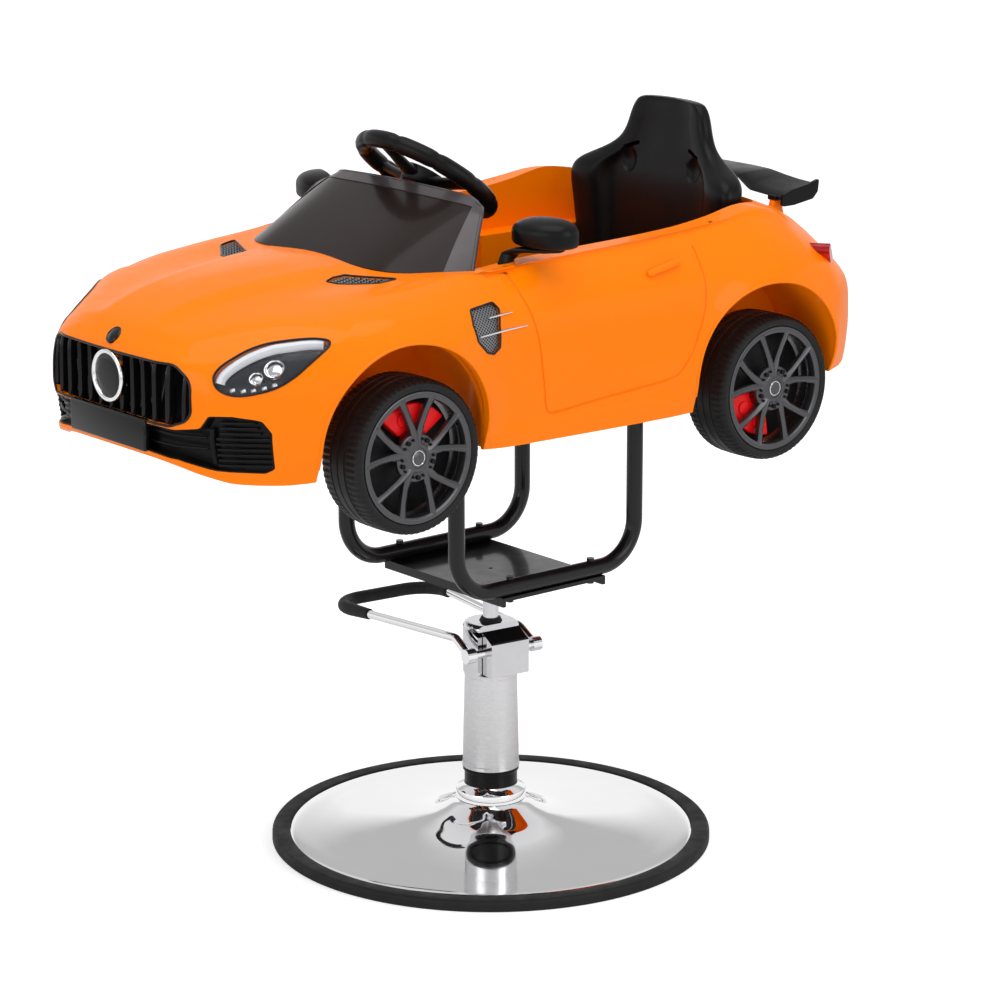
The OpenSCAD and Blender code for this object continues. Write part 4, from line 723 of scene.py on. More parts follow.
# %% Outlines of the pockets
LAMP_AT = Vector((205, -515, 761))
LAMP_N = Vector((0.396, -0.559, 0.728)).normalized()
LAMP_U = Vector((0.56, 0.775, 0.29)).normalized()
LAMP_V = LAMP_N.cross(LAMP_U)
lamp_outline = flat_points(smooth_path(
    [(-63.5, 3, 0), (-60.5, -8, 0), (-45, -18.5, 0), (-20, -23, 0), (8, -25, 0), (28, -21.5, 0),
     (48, -13, 0),
     (68, -3, 0), (80, 6.5, 0), (77, 13.5, 0), (50, 21.5, 0), (16, 27.5, 0), (-10, 27, 0), (-34, 21, 0),
     (-56, 12, 0)], 4, closed=True))
grille_outline = rounded_outline([(-150, 700), (-122, 689), (122, 689), (150, 700), (147, 746), (126, 764),
                                  (-126, 764), (-147, 746)], [18, 26, 26, 18, 26, 26, 26, 26])
mouth_side = [(64, 685), (96, 687), (130, 686), (158, 690), (168, 706), (190, 706.5), (213, 701),
              (221.5, 686),
              (221.5, 642), (213, 636), (170, 638), (130, 648), (62, 654)]
mouth_outline = rounded_outline(mouth_side, [0, 3, 3, 6, 5, 4, 7, 6, 6, 7, 8, 6, 0])
hood_vent = rounded_outline([(173, -289), (103, -320), (99, -335), (105, -350), (125, -345), (168, -315)],
                            3.5)
fender_vent = rounded_outline([(-247, 807), (-206, 810), (-200, 802), (-208, 784), (-212, 758),
                               (-224, 751.5),
                               (-236, 755), (-250.5, 771), (-252.5, 790)], 4)


def lamp_point(s, u, v, depth=0.0):
    p = LAMP_AT + LAMP_U * u + LAMP_V * v + LAMP_N * depth
    return Vector((s * p.x, p.y, p.z))


def lamp_out(s):
    return Vector((s * LAMP_N.x, LAMP_N.y, LAMP_N.z))


def from_front(bm, outline, s=1, low=-620, high=-500):
    slab(bm, [(s * p.x, low, p.y) for p in outline], (0, high - low, 0))


def from_side(bm, outline, s, x0=222, x1=330):
    slab(bm, [(s * x0, p.x, p.y) for p in outline], (s * (x1 - x0), 0, 0))


def tail_lamp_block(bm, s, gap=0.0):
    place = moved(s * 240.7, 361, 800) @ turned_by(s * 38, "Z")
    verts = []
    for y, z, r in ((-11, 10, 7.5), (11, -10, 8.5)):
        end = moved(0, y, z) @ turned_by(90, "Y")
        verts += bmesh.ops.create_cone(bm, cap_ends=True, segments=28, radius1=r + gap, radius2=r + gap,
                                       depth=44,
                                       matrix=end)["verts"]
    hull = bmesh.ops.convex_hull(bm, input=verts, use_existing_faces=False)
    loose = [g for g in hull["geom_interior"] + hull["geom_unused"] if isinstance(g, bmesh.types.BMVert)]
    bmesh.ops.delete(bm, geom=loose, context="VERTS")
    move(bm, place)


print("pocket outlines ready")

# %% [markdown]
# The cuts run in one go. The door is moulded into the shell, so it shows only as a groove: a thin
# tube along the door's outline, laid on the skin by casting rays at it from the side.

# %% Cut the shell
FROM_ABOVE, FROM_AHEAD, FROM_ASIDE, OFF_LAMP = 1000, -800, 400, 60


def on_skin(start, way, lift=0.0):
    hit, normal, _, _ = skin_tree.ray_cast(Vector(start), Vector(way).normalized())
    return None if hit is None else hit + normal * lift


# Points drawn in one view are cast on the skin: from above, from the nose, or from the car's flank
def landed(rays, lift):
    hits = [on_skin(start, way, lift) for start, way in rays]
    return [h for h in hits if h is not None]


def from_top(outline, s=1, lift=0.0):
    return landed([((s * p.x, p.y, FROM_ABOVE), (0, 0, -1)) for p in outline], lift)


def from_nose(outline, s=1, lift=0.0):
    return landed([((s * p.x, FROM_AHEAD, p.y), (0, 1, 0)) for p in outline], lift)


def from_flank(outline, s=1, lift=0.0):
    return landed([((s * FROM_ASIDE, p.x, p.y), (-s, 0, 0)) for p in outline], lift)


def side_line(points, s=1, lift=0.0, steps=6):
    path = smooth_path([(0, y, z) for y, z in points], steps)
    return from_flank([Vector((p.y, p.z)) for p in path], s, lift)


def side_block(bm, s, near, far):
    block(bm, (min(s * near[0], s * far[0]), *near[1:]), (max(s * near[0], s * far[0]), *far[1:]))


door_line = [(-163, 838), (-158, 815), (-150, 780), (-142, 741), (-137, 700), (-132, 668), (-118, 661),
             (-70, 664), (-19, 668), (68, 675), (92, 682), (106, 698), (117, 716), (127, 740), (134, 762),
             (138, 790), (139, 812), (139, 838)]


shell = cutter(lambda bm: loft(bm, skin_loops()), "car_shell")
tools = [hollow, cutter(lambda bm: upright(bm, cockpit_outline, TUB_STEP, CUT_TOP)),
         cutter(lambda bm: upright(bm, tub_outline, CUT_LOW, CUT_TOP)),
         cutter(lambda bm: block(bm, (-138, -439, 619), (138, -192, 803))),
         cutter(lambda bm: block(bm, (-250.3, -218.5, 361), (250.3, 114.1, 652))),
         cutter(lambda bm: from_front(bm, grille_outline)),
         *both_sides(lambda bm, s: from_front(bm, mouth_outline, s, -640, -470)),
         *both_sides(lambda bm, s: slab(bm, [lamp_point(s, p.x, p.y, -28) for p in lamp_outline],
                                        lamp_point(s, 0, 0, 32) - lamp_point(s, 0, 0, -28))),
         *both_sides(lambda bm, s: upright(bm, [Vector((s * p.x, p.y)) for p in hood_vent], 775, 900)),
         *both_sides(lambda bm, s: from_side(bm, fender_vent, s)),
         *both_sides(lambda bm, s: tail_lamp_block(bm, s, 0.3)),
         *both_sides(lambda bm, s: well(bm, s * 150, s * 262, (FRONT_ARCH[0] + 9, FRONT_ARCH[1], 121))),
         *both_sides(lambda bm, s: well(bm, s * 150, s * 600, FRONT_ARCH)),
         *both_sides(lambda bm, s: well(bm, s * 172, s * 600, REAR_ARCH)),
         *both_sides(lambda bm, s: side_block(bm, s, (135, -371, 361), (152, -305, 652.3))),
         *both_sides(lambda bm, s: side_block(bm, s, (157, 250, 361), (174, 274, 649)))]
cut(shell, *tools)
cut(shell, *both_sides(lambda bm, s: tube(bm, side_line(door_line, s), 1.7, sides=8)))
car_shell = put(bmesh_from(shell), "car_shell", orange_gloss, "carriage", ["car_body"],
                sharp=32,
                turn_out=False)
print("shell", len(car_shell.data.polygons), "faces")

# %% [markdown]
# ## Base and column
# The base is a spun steel dish, chrome plated, in a rubber ring. Spinning gives it true circles and a
# smooth flare to the neck, so the lathe helper makes it from the profile measured in the photograph.

# %% Dish, rubber ring, flange, collar and shroud
def turned(name, profile, finish, nodes, body="base", steps=128, sharp=30, place=None):
    bm = bmesh.new()
    lathe(bm, profile, steps, place)
    return put(bm, name, finish, body, nodes, sharp)


top = smooth_path([(275, 0, 12.5), (268, 0, 14.2), (235, 0, 15.3), (200, 0, 17.0), (150, 0, 21.0),
                   (120, 0, 24.5),
                   (100, 0, 28.5), (84, 0, 33.0), (70, 0, 39.5), (60, 0, 45.5), (52, 0, 51.0),
                   (48, 0, 55.7)], 6)
dish = [(p.x, p.z) for p in top]
under = [(x - 0.6, z - 2.0) for x, z in reversed(dish) if x > 52.2 and z < 50]
turned("spun_dish", dish + [(45.6, 55.7)] + under + [(274.6, 9.6), (275, 12.5)], chrome, ["base_dish"])
ring_line = [(275.3, 0.4), (299, 0.4), (300, 1.5), (300, 10.0)] + \
    arc((295, 10), 5, range(15, 91, 15)) + \
    [(280, 15.0), (277.2, 14.4), (275.6, 12.8), (275.3, 0.4)]
turned("rubber_ring", ring_line, rubber, ["base_rim_ring"], steps=144)
turned("flange_ring", [(36.4, 56.0), (47.0, 56.0), (48.0, 57.0), (48.0, 67.2), (47.2, 69.0), (45.5, 70.0),
                       (40.5, 73.6), (38.4, 75.6), (37.4, 77.0), (36.4, 77.0), (36.4, 56.0)], chrome,
       ["pump_flange"])
print("dish profile points", len(dish))

# %% [markdown]
# The shroud is rolled stainless steel, brushed round its girth, with a folded edge at top and bottom.
# A black plastic collar carries it, and the pump head caps it with a polished dome edge.

# %% Collar, shroud and head
low_collar, high_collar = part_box("lower_collar")
low_shroud, high_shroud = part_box("column_shroud")
z0, z1 = low_collar.z / MM, high_collar.z / MM
turned("black_collar", [(33.5, z0), (36.0, z0), (36.0, z1 - 6.5), (37.4, z1 - 6.0), (38.2, z1 - 5.0),
                        (38.2, z1 - 1.0), (37.4, z1), (33.5, z1), (33.5, z0)], satin_black,
                        ["lower_collar"],
       steps=96)
s0, s1 = low_shroud.z / MM, high_shroud.z / MM
r0 = high_shroud.x / MM
turned("brushed_shroud", [(r0 - 2, s0), (r0 - 0.4, s0), (r0, s0 + 0.6), (r0, s0 + 5), (r0 - 0.5, s0 + 5.6),
                          (r0 - 3.3, s1 - 5.6), (r0 - 2.9, s1 - 5), (r0 - 2.9, s1 - 0.6), (r0 - 3.4, s1),
                          (r0 - 5.4, s1), (r0 - 2, s0)], brushed, ["column_shroud"],
                          steps=128)
print("shroud", round(s0), "to", round(s1), "radius", round(r0, 1))

# %% [markdown]
# ## Foot lever
# One chrome rod is bent into a wide U, and a rubber sleeve covers its far side. The rod's corners are
# true arcs, as a pipe bender leaves them, so the path is built from arcs and the tube follows it.

# %% Lever rod and its rubber sleeve
HEAD_TURN = math.radians(6)
OUT = Vector((math.cos(HEAD_TURN), -math.sin(HEAD_TURN), 0))
SHAFT = Vector((math.sin(HEAD_TURN), math.cos(HEAD_TURN), 0))


def head_point(n, s, z):
    return OUT * n + SHAFT * s + Vector((0, 0, z))


bar_low, bar_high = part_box("pedal_bar")
ARM, REACH, SPAN, GRIP_Z = 53, -281, 87.5, 276
far_corners = [head_point(REACH, SPAN, GRIP_Z), head_point(REACH, -SPAN, GRIP_Z)]
lever_path = rounded_path([head_point(28, ARM, 271), head_point(-7, ARM - 1, 288), *far_corners,
                           head_point(-7, -ARM + 1, 288), head_point(28, -ARM, 271)], [22, 45, 45, 22], 10)
rod_bm = bmesh.new()
tube(rod_bm, lever_path, 6.0, sides=20)
put(rod_bm, "lever_rod", chrome, "lever", ["pedal_bar"], sharp=50)
inner_path = rounded_path([head_point(-228, 80.6, 278.3), *far_corners, head_point(-190, -75.7, 280)],
                          [45, 45], 14)
sleeve_r = [9.0] * len(inner_path)
sleeve_r[0] = sleeve_r[-1] = 7.6
sleeve_bm = bmesh.new()
tube(sleeve_bm, inner_path, sleeve_r, sides=24)
put(sleeve_bm, "lever_sleeve", rubber, "lever", ["pedal_grip"], sharp=60)
print("lever box in CAD", [round(v / MM) for v in (*bar_low, *bar_high)])

# %% [markdown]
# ## Wheels
# The tyres are hollow blow-moulded plastic with fine cross ribs on both shoulders. A ribbed tyre is a
# plain spun one whose points are pulled in at every other step, which keeps the mesh light.

# %% Tyre
TYRE_X, TYRE_W = 198.0, 77.0
RIBS = 74


def tyre_mesh(bm, y, z, sign):
    half = [(83.4, 0.0), (83.4, 3.5), (86, 1.6), (89, 1.0), (92, 1.8), (94.4, 4.2), (96.2, 8.5), (96.9, 14),
            (97.2, 22.5), (97.3, 24), (95.8, 24.6), (95.8, 26.2), (97.3, 26.8), (97.5, 37.0), (96.2, 37.6),
            (96.2, 38.5)]
    profile = half[1:] + [(r, TYRE_W - w) for r, w in reversed(half[1:-1])] + [half[1]]
    fresh = bmesh.new()
    lathe(fresh, profile, RIBS * 4)
    for v in fresh.verts:
        r = math.hypot(v.co.x, v.co.y)
        edge = min(v.co.z, TYRE_W - v.co.z)
        step = round(math.atan2(v.co.y, v.co.x) / (2 * math.pi) * RIBS * 4) % 4
        if r > 93 and 3 < edge < 23.5 and step in (2, 3):
            v.co *= Vector((1 - 1.5 / r, 1 - 1.5 / r, 1))
    place = moved(TYRE_X, y, z) @ turned_by(90, "Y")
    move(fresh, side_of_car(sign) @ place)
    add_part(bm, fresh)


HUB_Z, FRONT_Y, REAR_Y = 637.0, -338.0, 262.0
WHEELS = {"front_left": (FRONT_Y, 1), "front_right": (FRONT_Y, -1), "rear_left": (REAR_Y, 1),
          "rear_right": (REAR_Y, -1)}
for corner, (y, sign) in WHEELS.items():
    bm = bmesh.new()
    tyre_mesh(bm, y, HUB_Z, sign)
    put(bm, f"ribbed_tyre_{corner}", tyre_black, f"wheel_{corner}", [f"tyre_{corner}"],
        sharp=34)
print("tyres", len(WHEELS), "with", RIBS, "ribs a side")

# %% [markdown]
# The rims copy a cast wheel: five pairs of slim spokes, each pair parting from one root at the hub
# like a V. One spoke is lofted with a ridge along its back, and turning and mirroring make ten.

# %% Rim
FACE = 272.0


def spoke(bm, turn, lean):
    stations_of = [(17, 4.0, -1.0, 7.5, 8), (26, 6.0, -0.6, 5.2, 8), (40, 10.0, -1.4, 4.2, 8.5),
                   (58, 14.5, -1.0, 4.0, 8.5), (72, 17.2, 0.0, 4.6, 8), (78.5, 18.0, 0.4, 6.6, 7)]
    loops = []
    for r, swing, rise, half, deep in stations_of:
        a = math.radians(turn + lean * swing)
        ahead = Vector((0, math.cos(a), math.sin(a)))
        wide = Vector((0, -math.sin(a), math.cos(a)))
        at = ahead * r + Vector((rise, 0, 0))
        loops.append([at - wide * half + Vector((-deep, 0, 0)), at - wide * half + Vector((-2.0, 0, 0)),
                      at - wide * half * 0.45, at + Vector((0.9, 0, 0)), at + wide * half * 0.45,
                      at + wide * half + Vector((-2.0, 0, 0)), at + wide * half + Vector((-deep, 0, 0))])
    loft(bm, loops)


def rim_mesh(bm):
    turn_x = turned_by(90, "Y")
    rim_line = [(83.0, -58), (83.0, -1.5), (82.2, 0.2), (80.5, 0.8), (76.5, 0.4), (74.6, -0.8), (73.6, -4),
                (74.2, -12), (78.6, -20), (79.0, -58), (83.0, -58)]
    lathe(bm, rim_line, 96, turn_x)
    lathe(bm, [(0, -9), (30.5, -9), (30.5, -4.0), (29.2, -2.6), (19.0, -1.6), (17.5, -0.6), (13.0, -0.4),
               (12.4, -1.4), (0, -1.4)], 60, turn_x)
    for pair in range(5):
        for lean in (1, -1):
            spoke(bm, 90 + 72 * pair, lean)


def holes(bm):
    for pair in range(5):
        for turn, r, size in ((126, 24.6, 3.0), (108, 24.2, 1.5), (144, 24.2, 1.5)):
            a = math.radians(turn + 72 * pair)
            place = moved(-4, r * math.cos(a), r * math.sin(a)) @ turned_by(90, "Y")
            bmesh.ops.create_cone(bm, cap_ends=True, segments=20, radius1=size, radius2=size, depth=9,
                                  matrix=place)


def cap_mesh(bm):
    turn_x = turned_by(90, "Y")
    lathe(bm, [(0, 0.6), (7.6, 0.2), (8.2, -0.2), (8.2, -2), (0, -2), (0, 0.6)], 40, turn_x)


def cap_ring(bm):
    turn_x = turned_by(90, "Y")
    lathe(bm, [(8.4, -1.8), (8.4, 0.4), (9.0, 1.0), (9.8, 0.4), (9.8, -1.8), (8.4, -1.8)], 40, turn_x)


def placed(build, y, sign):
    bm = bmesh.new()
    build(bm)
    place = side_of_car(sign) @ moved(FACE, y, HUB_Z)
    move(bm, place)
    return bm


for corner, (y, sign) in WHEELS.items():
    body = f"wheel_{corner}"
    rim = put(placed(rim_mesh, y, sign), f"spoked_rim_{corner}", wheel_grey, body, [f"rim_{corner}"],
              sharp=28)
    put(placed(holes, y, sign), f"lug_holes_{corner}", satin_black, body)
    put(placed(cap_mesh, y, sign), f"hub_cap_{corner}", wheel_grey, body)
    put(placed(cap_ring, y, sign), f"hub_ring_{corner}", bright_trim, body)
print("rims with 10 spokes each, faces", len(rim.data.polygons))

# %% [markdown]
# Behind the spokes sits a red plastic block shaped like a brake caliper, on its bracket. It is an arc
# with rounded edges and two raised pistons.

# %% Calipers
def caliper_mesh(bm, y, turn, sign, bracket_x):
    outline = arc((0, 0), 66, range(-46, 47, 4)) + arc((0, 0), 32, range(40, -41, -8))
    fresh = bmesh.new()
    slab(fresh, [(243, v, u) for u, v in outline], (14.5, 0, 0))
    flat = [e for e in fresh.edges if e.is_manifold and e.calc_face_angle() > 1.0]
    bmesh.ops.bevel(fresh, geom=flat, offset=2.6, offset_type="OFFSET", segments=3, profile=0.5,
                    affect="EDGES",
                    material=-1)
    for a in (-20, 20):
        place = moved(257, 49 * math.sin(math.radians(a)), 49 * math.cos(math.radians(a))) @ turned_by(90,
                                                                                                       "Y")
        bmesh.ops.create_cone(fresh, cap_ends=True, segments=28, radius1=10, radius2=8, depth=5,
                              matrix=place)
    block(fresh, (bracket_x, -6, 12), (250, 6, 38), 1.5, 2)
    ring = moved(bracket_x + 3, 0, 0) @ turned_by(90, "Y")
    lathe(fresh, [(6.4, -3), (13, -3), (13, 3), (6.4, 3), (6.4, -3)], 32, ring)
    place = side_of_car(sign) @ moved(0, y, HUB_Z) @ turned_by(-turn, "X")
    move(fresh, place)
    bmesh.ops.recalc_face_normals(fresh, faces=fresh.faces)
    add_part(bm, fresh)


for side, sign in SIDES:
    bm = bmesh.new()
    caliper_mesh(bm, FRONT_Y, 4, sign, 187.3)
    put(bm, f"red_caliper_front_{side}", red_plastic, f"knuckle_{side}", [f"caliper_front_{side}"],
        turn_out=False)
pair("red_calipers_rear", red_plastic, lambda bm, s: caliper_mesh(bm, REAR_Y, -137, s, 180.0),
     ["calipers_rear"],
     "red_plastic", turn_out=False)
print("calipers done")

# %% [markdown]
# A black dust shield closes each wheel behind its caliper, as the photograph shows black between the
# spokes. It doesn't turn with the wheel, because the caliper's bracket passes through it.

# %% Dust shields
def shield(bm, y, sign):
    place = side_of_car(sign) @ moved(0, y, HUB_Z) @ turned_by(90, "Y")
    lathe(bm, [(0, 236.5), (74, 236.5), (76, 237.2), (76, 238.4), (74, 239), (30, 239), (28, 240.4),
               (0, 240.4),
               (0, 236.5)], 72, place)


for side, sign in SIDES:
    bm = bmesh.new()
    shield(bm, FRONT_Y, sign)
    put(bm, f"dust_shield_front_{side}", tyre_black, f"knuckle_{side}", sharp=45)
pair("dust_shields_rear", tyre_black, lambda bm, s: shield(bm, REAR_Y, s), (), "black_plastic", 45)
print("shields done")

# %% [markdown]
# ## Edges of the shell
# A moulded shell has rolled edges. Beads of small tube, laid on the skin along the openings, give the
# arches that soft edge, and thin black ones are the gaskets of the lamps and vents.

# %% Beads along the openings
def bead(name, paths, radius, finish, closed=True, sides=10):
    bm = bmesh.new()
    for path in paths:
        if len(path) > 2:
            tube(bm, path, radius, sides, closed)
    return put(bm, name, finish, "carriage", sharp=80)


def middle_of(outline):
    return Vector((sum(p.x for p in outline) / len(outline), sum(p.y for p in outline) / len(outline)))


def dense(outline, step=9.0):
    out = []
    for a, b in zip(outline, outline[1:] + outline[:1]):
        parts = max(1, round((b - a).length / step))
        out += [a + (b - a) * k / parts for k in range(parts)]
    return out


def lamp_rim(s, gap=0.0, lift=0.0):
    line = dense(grown(lamp_outline, gap), 5)
    return landed([(lamp_point(s, p.x, p.y, OFF_LAMP), -lamp_out(s)) for p in line], lift)


def arch_line(arch, s, low):
    y, z, r = arch
    line = [(y + r + 1, low)] + arc((y, z), r + 1, range(0, 181, 4)) + [(y - r - 1, low)]
    return from_flank([Vector(p) for p in line], s, -0.6)


ARCH_FEET = ((FRONT_ARCH, 640), (REAR_ARCH, 646))
bead("arch_edges", [arch_line(arch, s, low) for s in (1, -1) for arch, low in ARCH_FEET], 2.2, orange_gloss,
     closed=False)
bead("lamp_gaskets", [lamp_rim(s, 0.5, 0.1) for s in (1, -1)], 1.5, gloss_black, sides=8)
bead("vent_gaskets", [from_top(dense(hood_vent, 5), s, 0.1) for s in (1, -1)]
     + [from_flank(dense(fender_vent, 5), s, 0.1) for s in (1, -1)], 1.3, gloss_black,
     sides=8)
bead("grille_edge", [from_nose(dense(grille_outline, 6), 1, 0.1)], 1.6, gloss_black, sides=8)
print("beads laid")

# %% [markdown]
# ## Lamps
# Each headlight is a pocket with a gloss black bowl, a white light strip along its upper edge, two
# round chrome projectors in the middle and a dark lower step with small squares. A clear lens, a few
# tenths under the skin, closes it.

# %% Headlights
def on_lamp(s, u, v, depth):
    hit = on_skin(lamp_point(s, u, v, OFF_LAMP), -lamp_out(s))
    return (hit if hit is not None else lamp_point(s, u, v)) - lamp_out(s) * depth


def lamp_patch(bm, s, outline, depth, steps=5):
    rings = []
    middle = middle_of(outline)
    for k in range(steps):
        share = 1 - k / steps
        rings.append([on_lamp(s, *(middle + (p - middle) * share), depth) for p in outline])
    rows = [loop_of(bm, ring) for ring in rings]
    bridge_rows(bm, rows, rows[-1:])
    return rows[0]


def lamp_plate(bm, s, outline, top, bottom):
    upper = lamp_patch(bm, s, outline, top)
    lower = lamp_patch(bm, s, outline, bottom)
    bmesh.ops.bridge_loops(bm, edges=upper[1] + lower[1])


def lamp_part(name, finish, build, nodes=(), slot="lamp_housing"):
    pair(name, finish, build, nodes, slot, 40)


def light_strip(bm, s):
    line = [(-58, 0), (-52, 6), (-34, 14), (-11, 19.5), (14, 21), (38, 17.5), (58, 14), (73, 10.5)]
    path = smooth_path([(u, v, 0) for u, v in line], 5)
    tube(bm, [on_lamp(s, p.x, p.y, 5.0) for p in path], 6.0, 12, flat=0.5)


for side, s in SIDES:
    bm = bmesh.new()
    lamp_plate(bm, s, grown(lamp_outline, -0.4), 11, 15)
    put(bm, f"lamp_bowl_{side}", gloss_black, "carriage", [f"headlight_{side}"])
lamp_part("lamp_lenses", clear_lens, lambda bm, s: lamp_plate(bm, s, grown(lamp_outline, -0.3), 0.4, 2.0),
          ["headlight_lenses"], "clear_lens")
lamp_part("light_strips", lamp_white, light_strip)
low_part = [Vector(p) for p in ((-56, -8), (-42, -16), (-18, -20), (8, -22), (27, -18.5), (46, -11),
                                (60, -4),
                                (30, -12), (0, -16), (-32, -12))]
lamp_part("lamp_steps", gloss_black, lambda bm, s: lamp_plate(bm, s, low_part, 5.5, 9.5))


def projector(bm, s):
    for u, v, r in ((9, -2, 11.5), (-15, -5.5, 7.6)):
        place = Matrix.Translation(on_lamp(s, u, v, 10.5)) @ facing(lamp_out(s))
        lathe(bm, [(0, 3.4), (r * 0.45, 3.0), (r * 0.7, 1.8), (r * 0.74, 0.4), (r * 0.86, 0.6), (r, 3.6),
                   (r + 1.0, 3.8), (r + 1.4, 2.2), (r + 1.6, -2), (0, -2), (0, 3.4)], 40, place)


lamp_part("lamp_projectors", chrome, projector)


def squares(bm, s):
    for u, v in ((-46, -11.3), (-34, -15.2), (-22, -17.6), (-9, -19.2), (4, -20)):
        turn = Matrix([Vector((s * n.x, n.y, n.z)) for n in (LAMP_U, LAMP_V, LAMP_N)]).transposed().to_4x4()
        block(bm, (-3.2, -2.6, -1), (3.2, 2.6, 1.2), 0.5, 2)
        bmesh.ops.transform(bm, matrix=Matrix.Translation(on_lamp(s, u, v, 5.2)) @ turn,
                            verts=[vert for vert in bm.verts if vert.co.length < 8])


lamp_part("lamp_squares", lamp_silver, squares)
print("headlights done")

# %% [markdown]
# The tail lamps are red blocks that wrap the rear corners; their outer face is the shell's own skin.

# %% Tail lamps
def skin_cut(name, build, finish, nodes):
    bm = bmesh.new()
    for s in (1, -1):
        fresh = bmesh.new()
        build(fresh, s)
        bmesh.ops.recalc_face_normals(fresh, faces=fresh.faces)
        add_part(bm, fresh)
    thing = loose_object(bm, name)
    solid = cutter(lambda b: loft(b, skin_loops()), "solid")
    inner = cutter(lambda b: loft(b, skin_loops(7.0, 5, 2)), "inner")
    step = thing.modifiers.new("keep", "BOOLEAN")
    step.operation, step.solver, step.object = "INTERSECT", "MANIFOLD", solid
    cut(thing, inner)
    bpy.data.objects.remove(solid)
    return put(bmesh_from(thing), name, finish, "carriage", nodes, sharp=32, turn_out=False)


skin_cut("red_tail_lamps", tail_lamp_block, red_lens, ["tail_lamps"])
print("tail lamps done")

# %% [markdown]
# ## Windscreen
# One dark smoked panel, bowed across and rising backwards, in a grey moulded border. Both come from
# one grid of points on the same bowed surface, so they meet without a gap. The border runs along
# the two sides and the top, and stands a little prouder.

# %% Windscreen and its border
SCREEN_LIFT = 845.4


def screen_point(s, t, depth=0.0):
    foot = Vector((s * 204, -295 + 96 * abs(s) ** 5, SCREEN_LIFT - 1 - 7 * s * s))
    head = Vector((s * 159, along(0.412) + 9 * s * s, SCREEN_LIFT + 78 - 6 * s * s))
    bow = Vector((0, -6, 6)) * t * (1 - t)
    p = foot + t * (head - foot) + bow
    corner = max(0.0, abs(s) - 0.80) / 0.20 * max(0.0, t - 0.70) / 0.30
    p -= Vector((math.copysign(9, s), -2, 10)) * corner ** 2
    return p - Vector((0, -0.45, 0.9)).normalized() * depth


def screen_sheet(bm, s0, s1, t0, t1, d0, d1, across_steps=36, up_steps=10):
    layers = []
    for depth in (d0, d1):
        fresh = bmesh.ops.create_grid(bm, x_segments=across_steps, y_segments=up_steps, size=0.5)["verts"]
        for v in fresh:
            s, t = v.co.x + 0.5, v.co.y + 0.5
            v.co = screen_point(s0 + (s1 - s0) * s, t0 + (t1 - t0) * t, depth)
        layers.append(fresh)
    rims = [[e for e in {e for v in layer for e in v.link_edges} if e.is_boundary] for layer in layers]
    bmesh.ops.bridge_loops(bm, edges=rims[0] + rims[1])


bm = bmesh.new()
screen_sheet(bm, -0.925, 0.925, 0.0, 0.90, 0.5, 3.4)
put(bm, "smoked_panel", smoked, "carriage", ["windscreen"], sharp=50)
bm = bmesh.new()
for part in ((-1, -0.92, 0.0, 1.0), (0.92, 1, 0.0, 1.0), (-0.93, 0.93, 0.89, 1.0)):
    wide = part[1] - part[0] > 1
    screen_sheet(bm, *part, -0.6, 4.2, 36 if wide else 3, 3 if wide else 14)
border_line = [screen_point(s, t, 1.6) for s, t in
               [(-1, k / 12) for k in range(13)] + [(-1 + k / 14, 1) for k in range(1, 28)]
               + [(1, 1 - k / 12) for k in range(13)]]
tube(bm, border_line, 2.9, 10)
put(bm, "screen_border", border_grey, "carriage", ["windscreen_frame"], sharp=45)
print("windscreen done")

# %% [markdown]
# ## Seat
# The seat is a hard black moulding, not a cushion: a tall back with a headrest, bolsters that reach
# forward, and a base pan. It is lofted in level slices from the measured outline and smoothed.

# %% Seat shell
def seat_slice(z, half, rim, face, back):
    roll = min(60, half * 0.38)
    inner = half - roll
    right = [(0, face), (inner * 0.6, face + 0.5), (inner - 2, face - 1),
             (inner + 3, face - (face - rim) * 0.5),
             (inner + roll * 0.22, rim + 1), (half - roll * 0.22, rim - 2), (half + 1, rim + 2),
             (half + 3.5, rim + (back - rim) * 0.35), (half + 2, back - 8), (half * 0.6, back + 1)]
    left = [(-x, v) for x, v in reversed(right[1:])]
    return [(x, v, z) for x, v in right + [(0, back + 1)] + left]


rows = [(657, 130, 262, 284, 302), (690, 134, 266, 288, 306), (740, 141, 272, 292, 311),
        (778, 147, 275, 295, 314),
        (818, 153, 275, 297, 316), (850, 157, 273, 298, 318), (868, 159, 272, 299, 320),
        (881, 158, 274, 300, 322),
        (892, 150, 280, 302, 325), (901, 132, 290, 304, 328), (910, 112, 297, 305, 330),
        (920, 95, 302, 307, 332),
        (931, 84, 305, 309, 334), (945, 77, 307, 311, 336), (958, 73, 308, 312, 337),
        (970, 69, 310, 313, 337),
        (980, 63, 312, 315, 336), (987, 53, 315, 318, 334)]
bm = bmesh.new()
loft(bm, [seat_slice(*row) for row in rows])
bmesh.ops.recalc_face_normals(bm, faces=bm.faces)
seat_object = loose_object(bm, "seat_back")
round_off = seat_object.modifiers.new("round", "SUBSURF")
round_off.levels = round_off.render_levels = 2


# Each belt hole is a slanted slot under a brow, with a shallow scoop below it
def belt_scoop(bm, s):
    place = moved(s * 62, 297, 917) @ turned_by(s * 20, "Y")
    block(bm, (-14, -8, -2.5), (14, 26, 3), 2.5, 3)
    move(bm, place)


def belt_dish(bm, s):
    fresh = bmesh.ops.create_uvsphere(bm, u_segments=28, v_segments=18, radius=1)["verts"]
    bmesh.ops.transform(bm, matrix=moved(s * 64, 296, 899) @ Matrix.Diagonal((17, 12, 21, 1)),
                        verts=fresh)


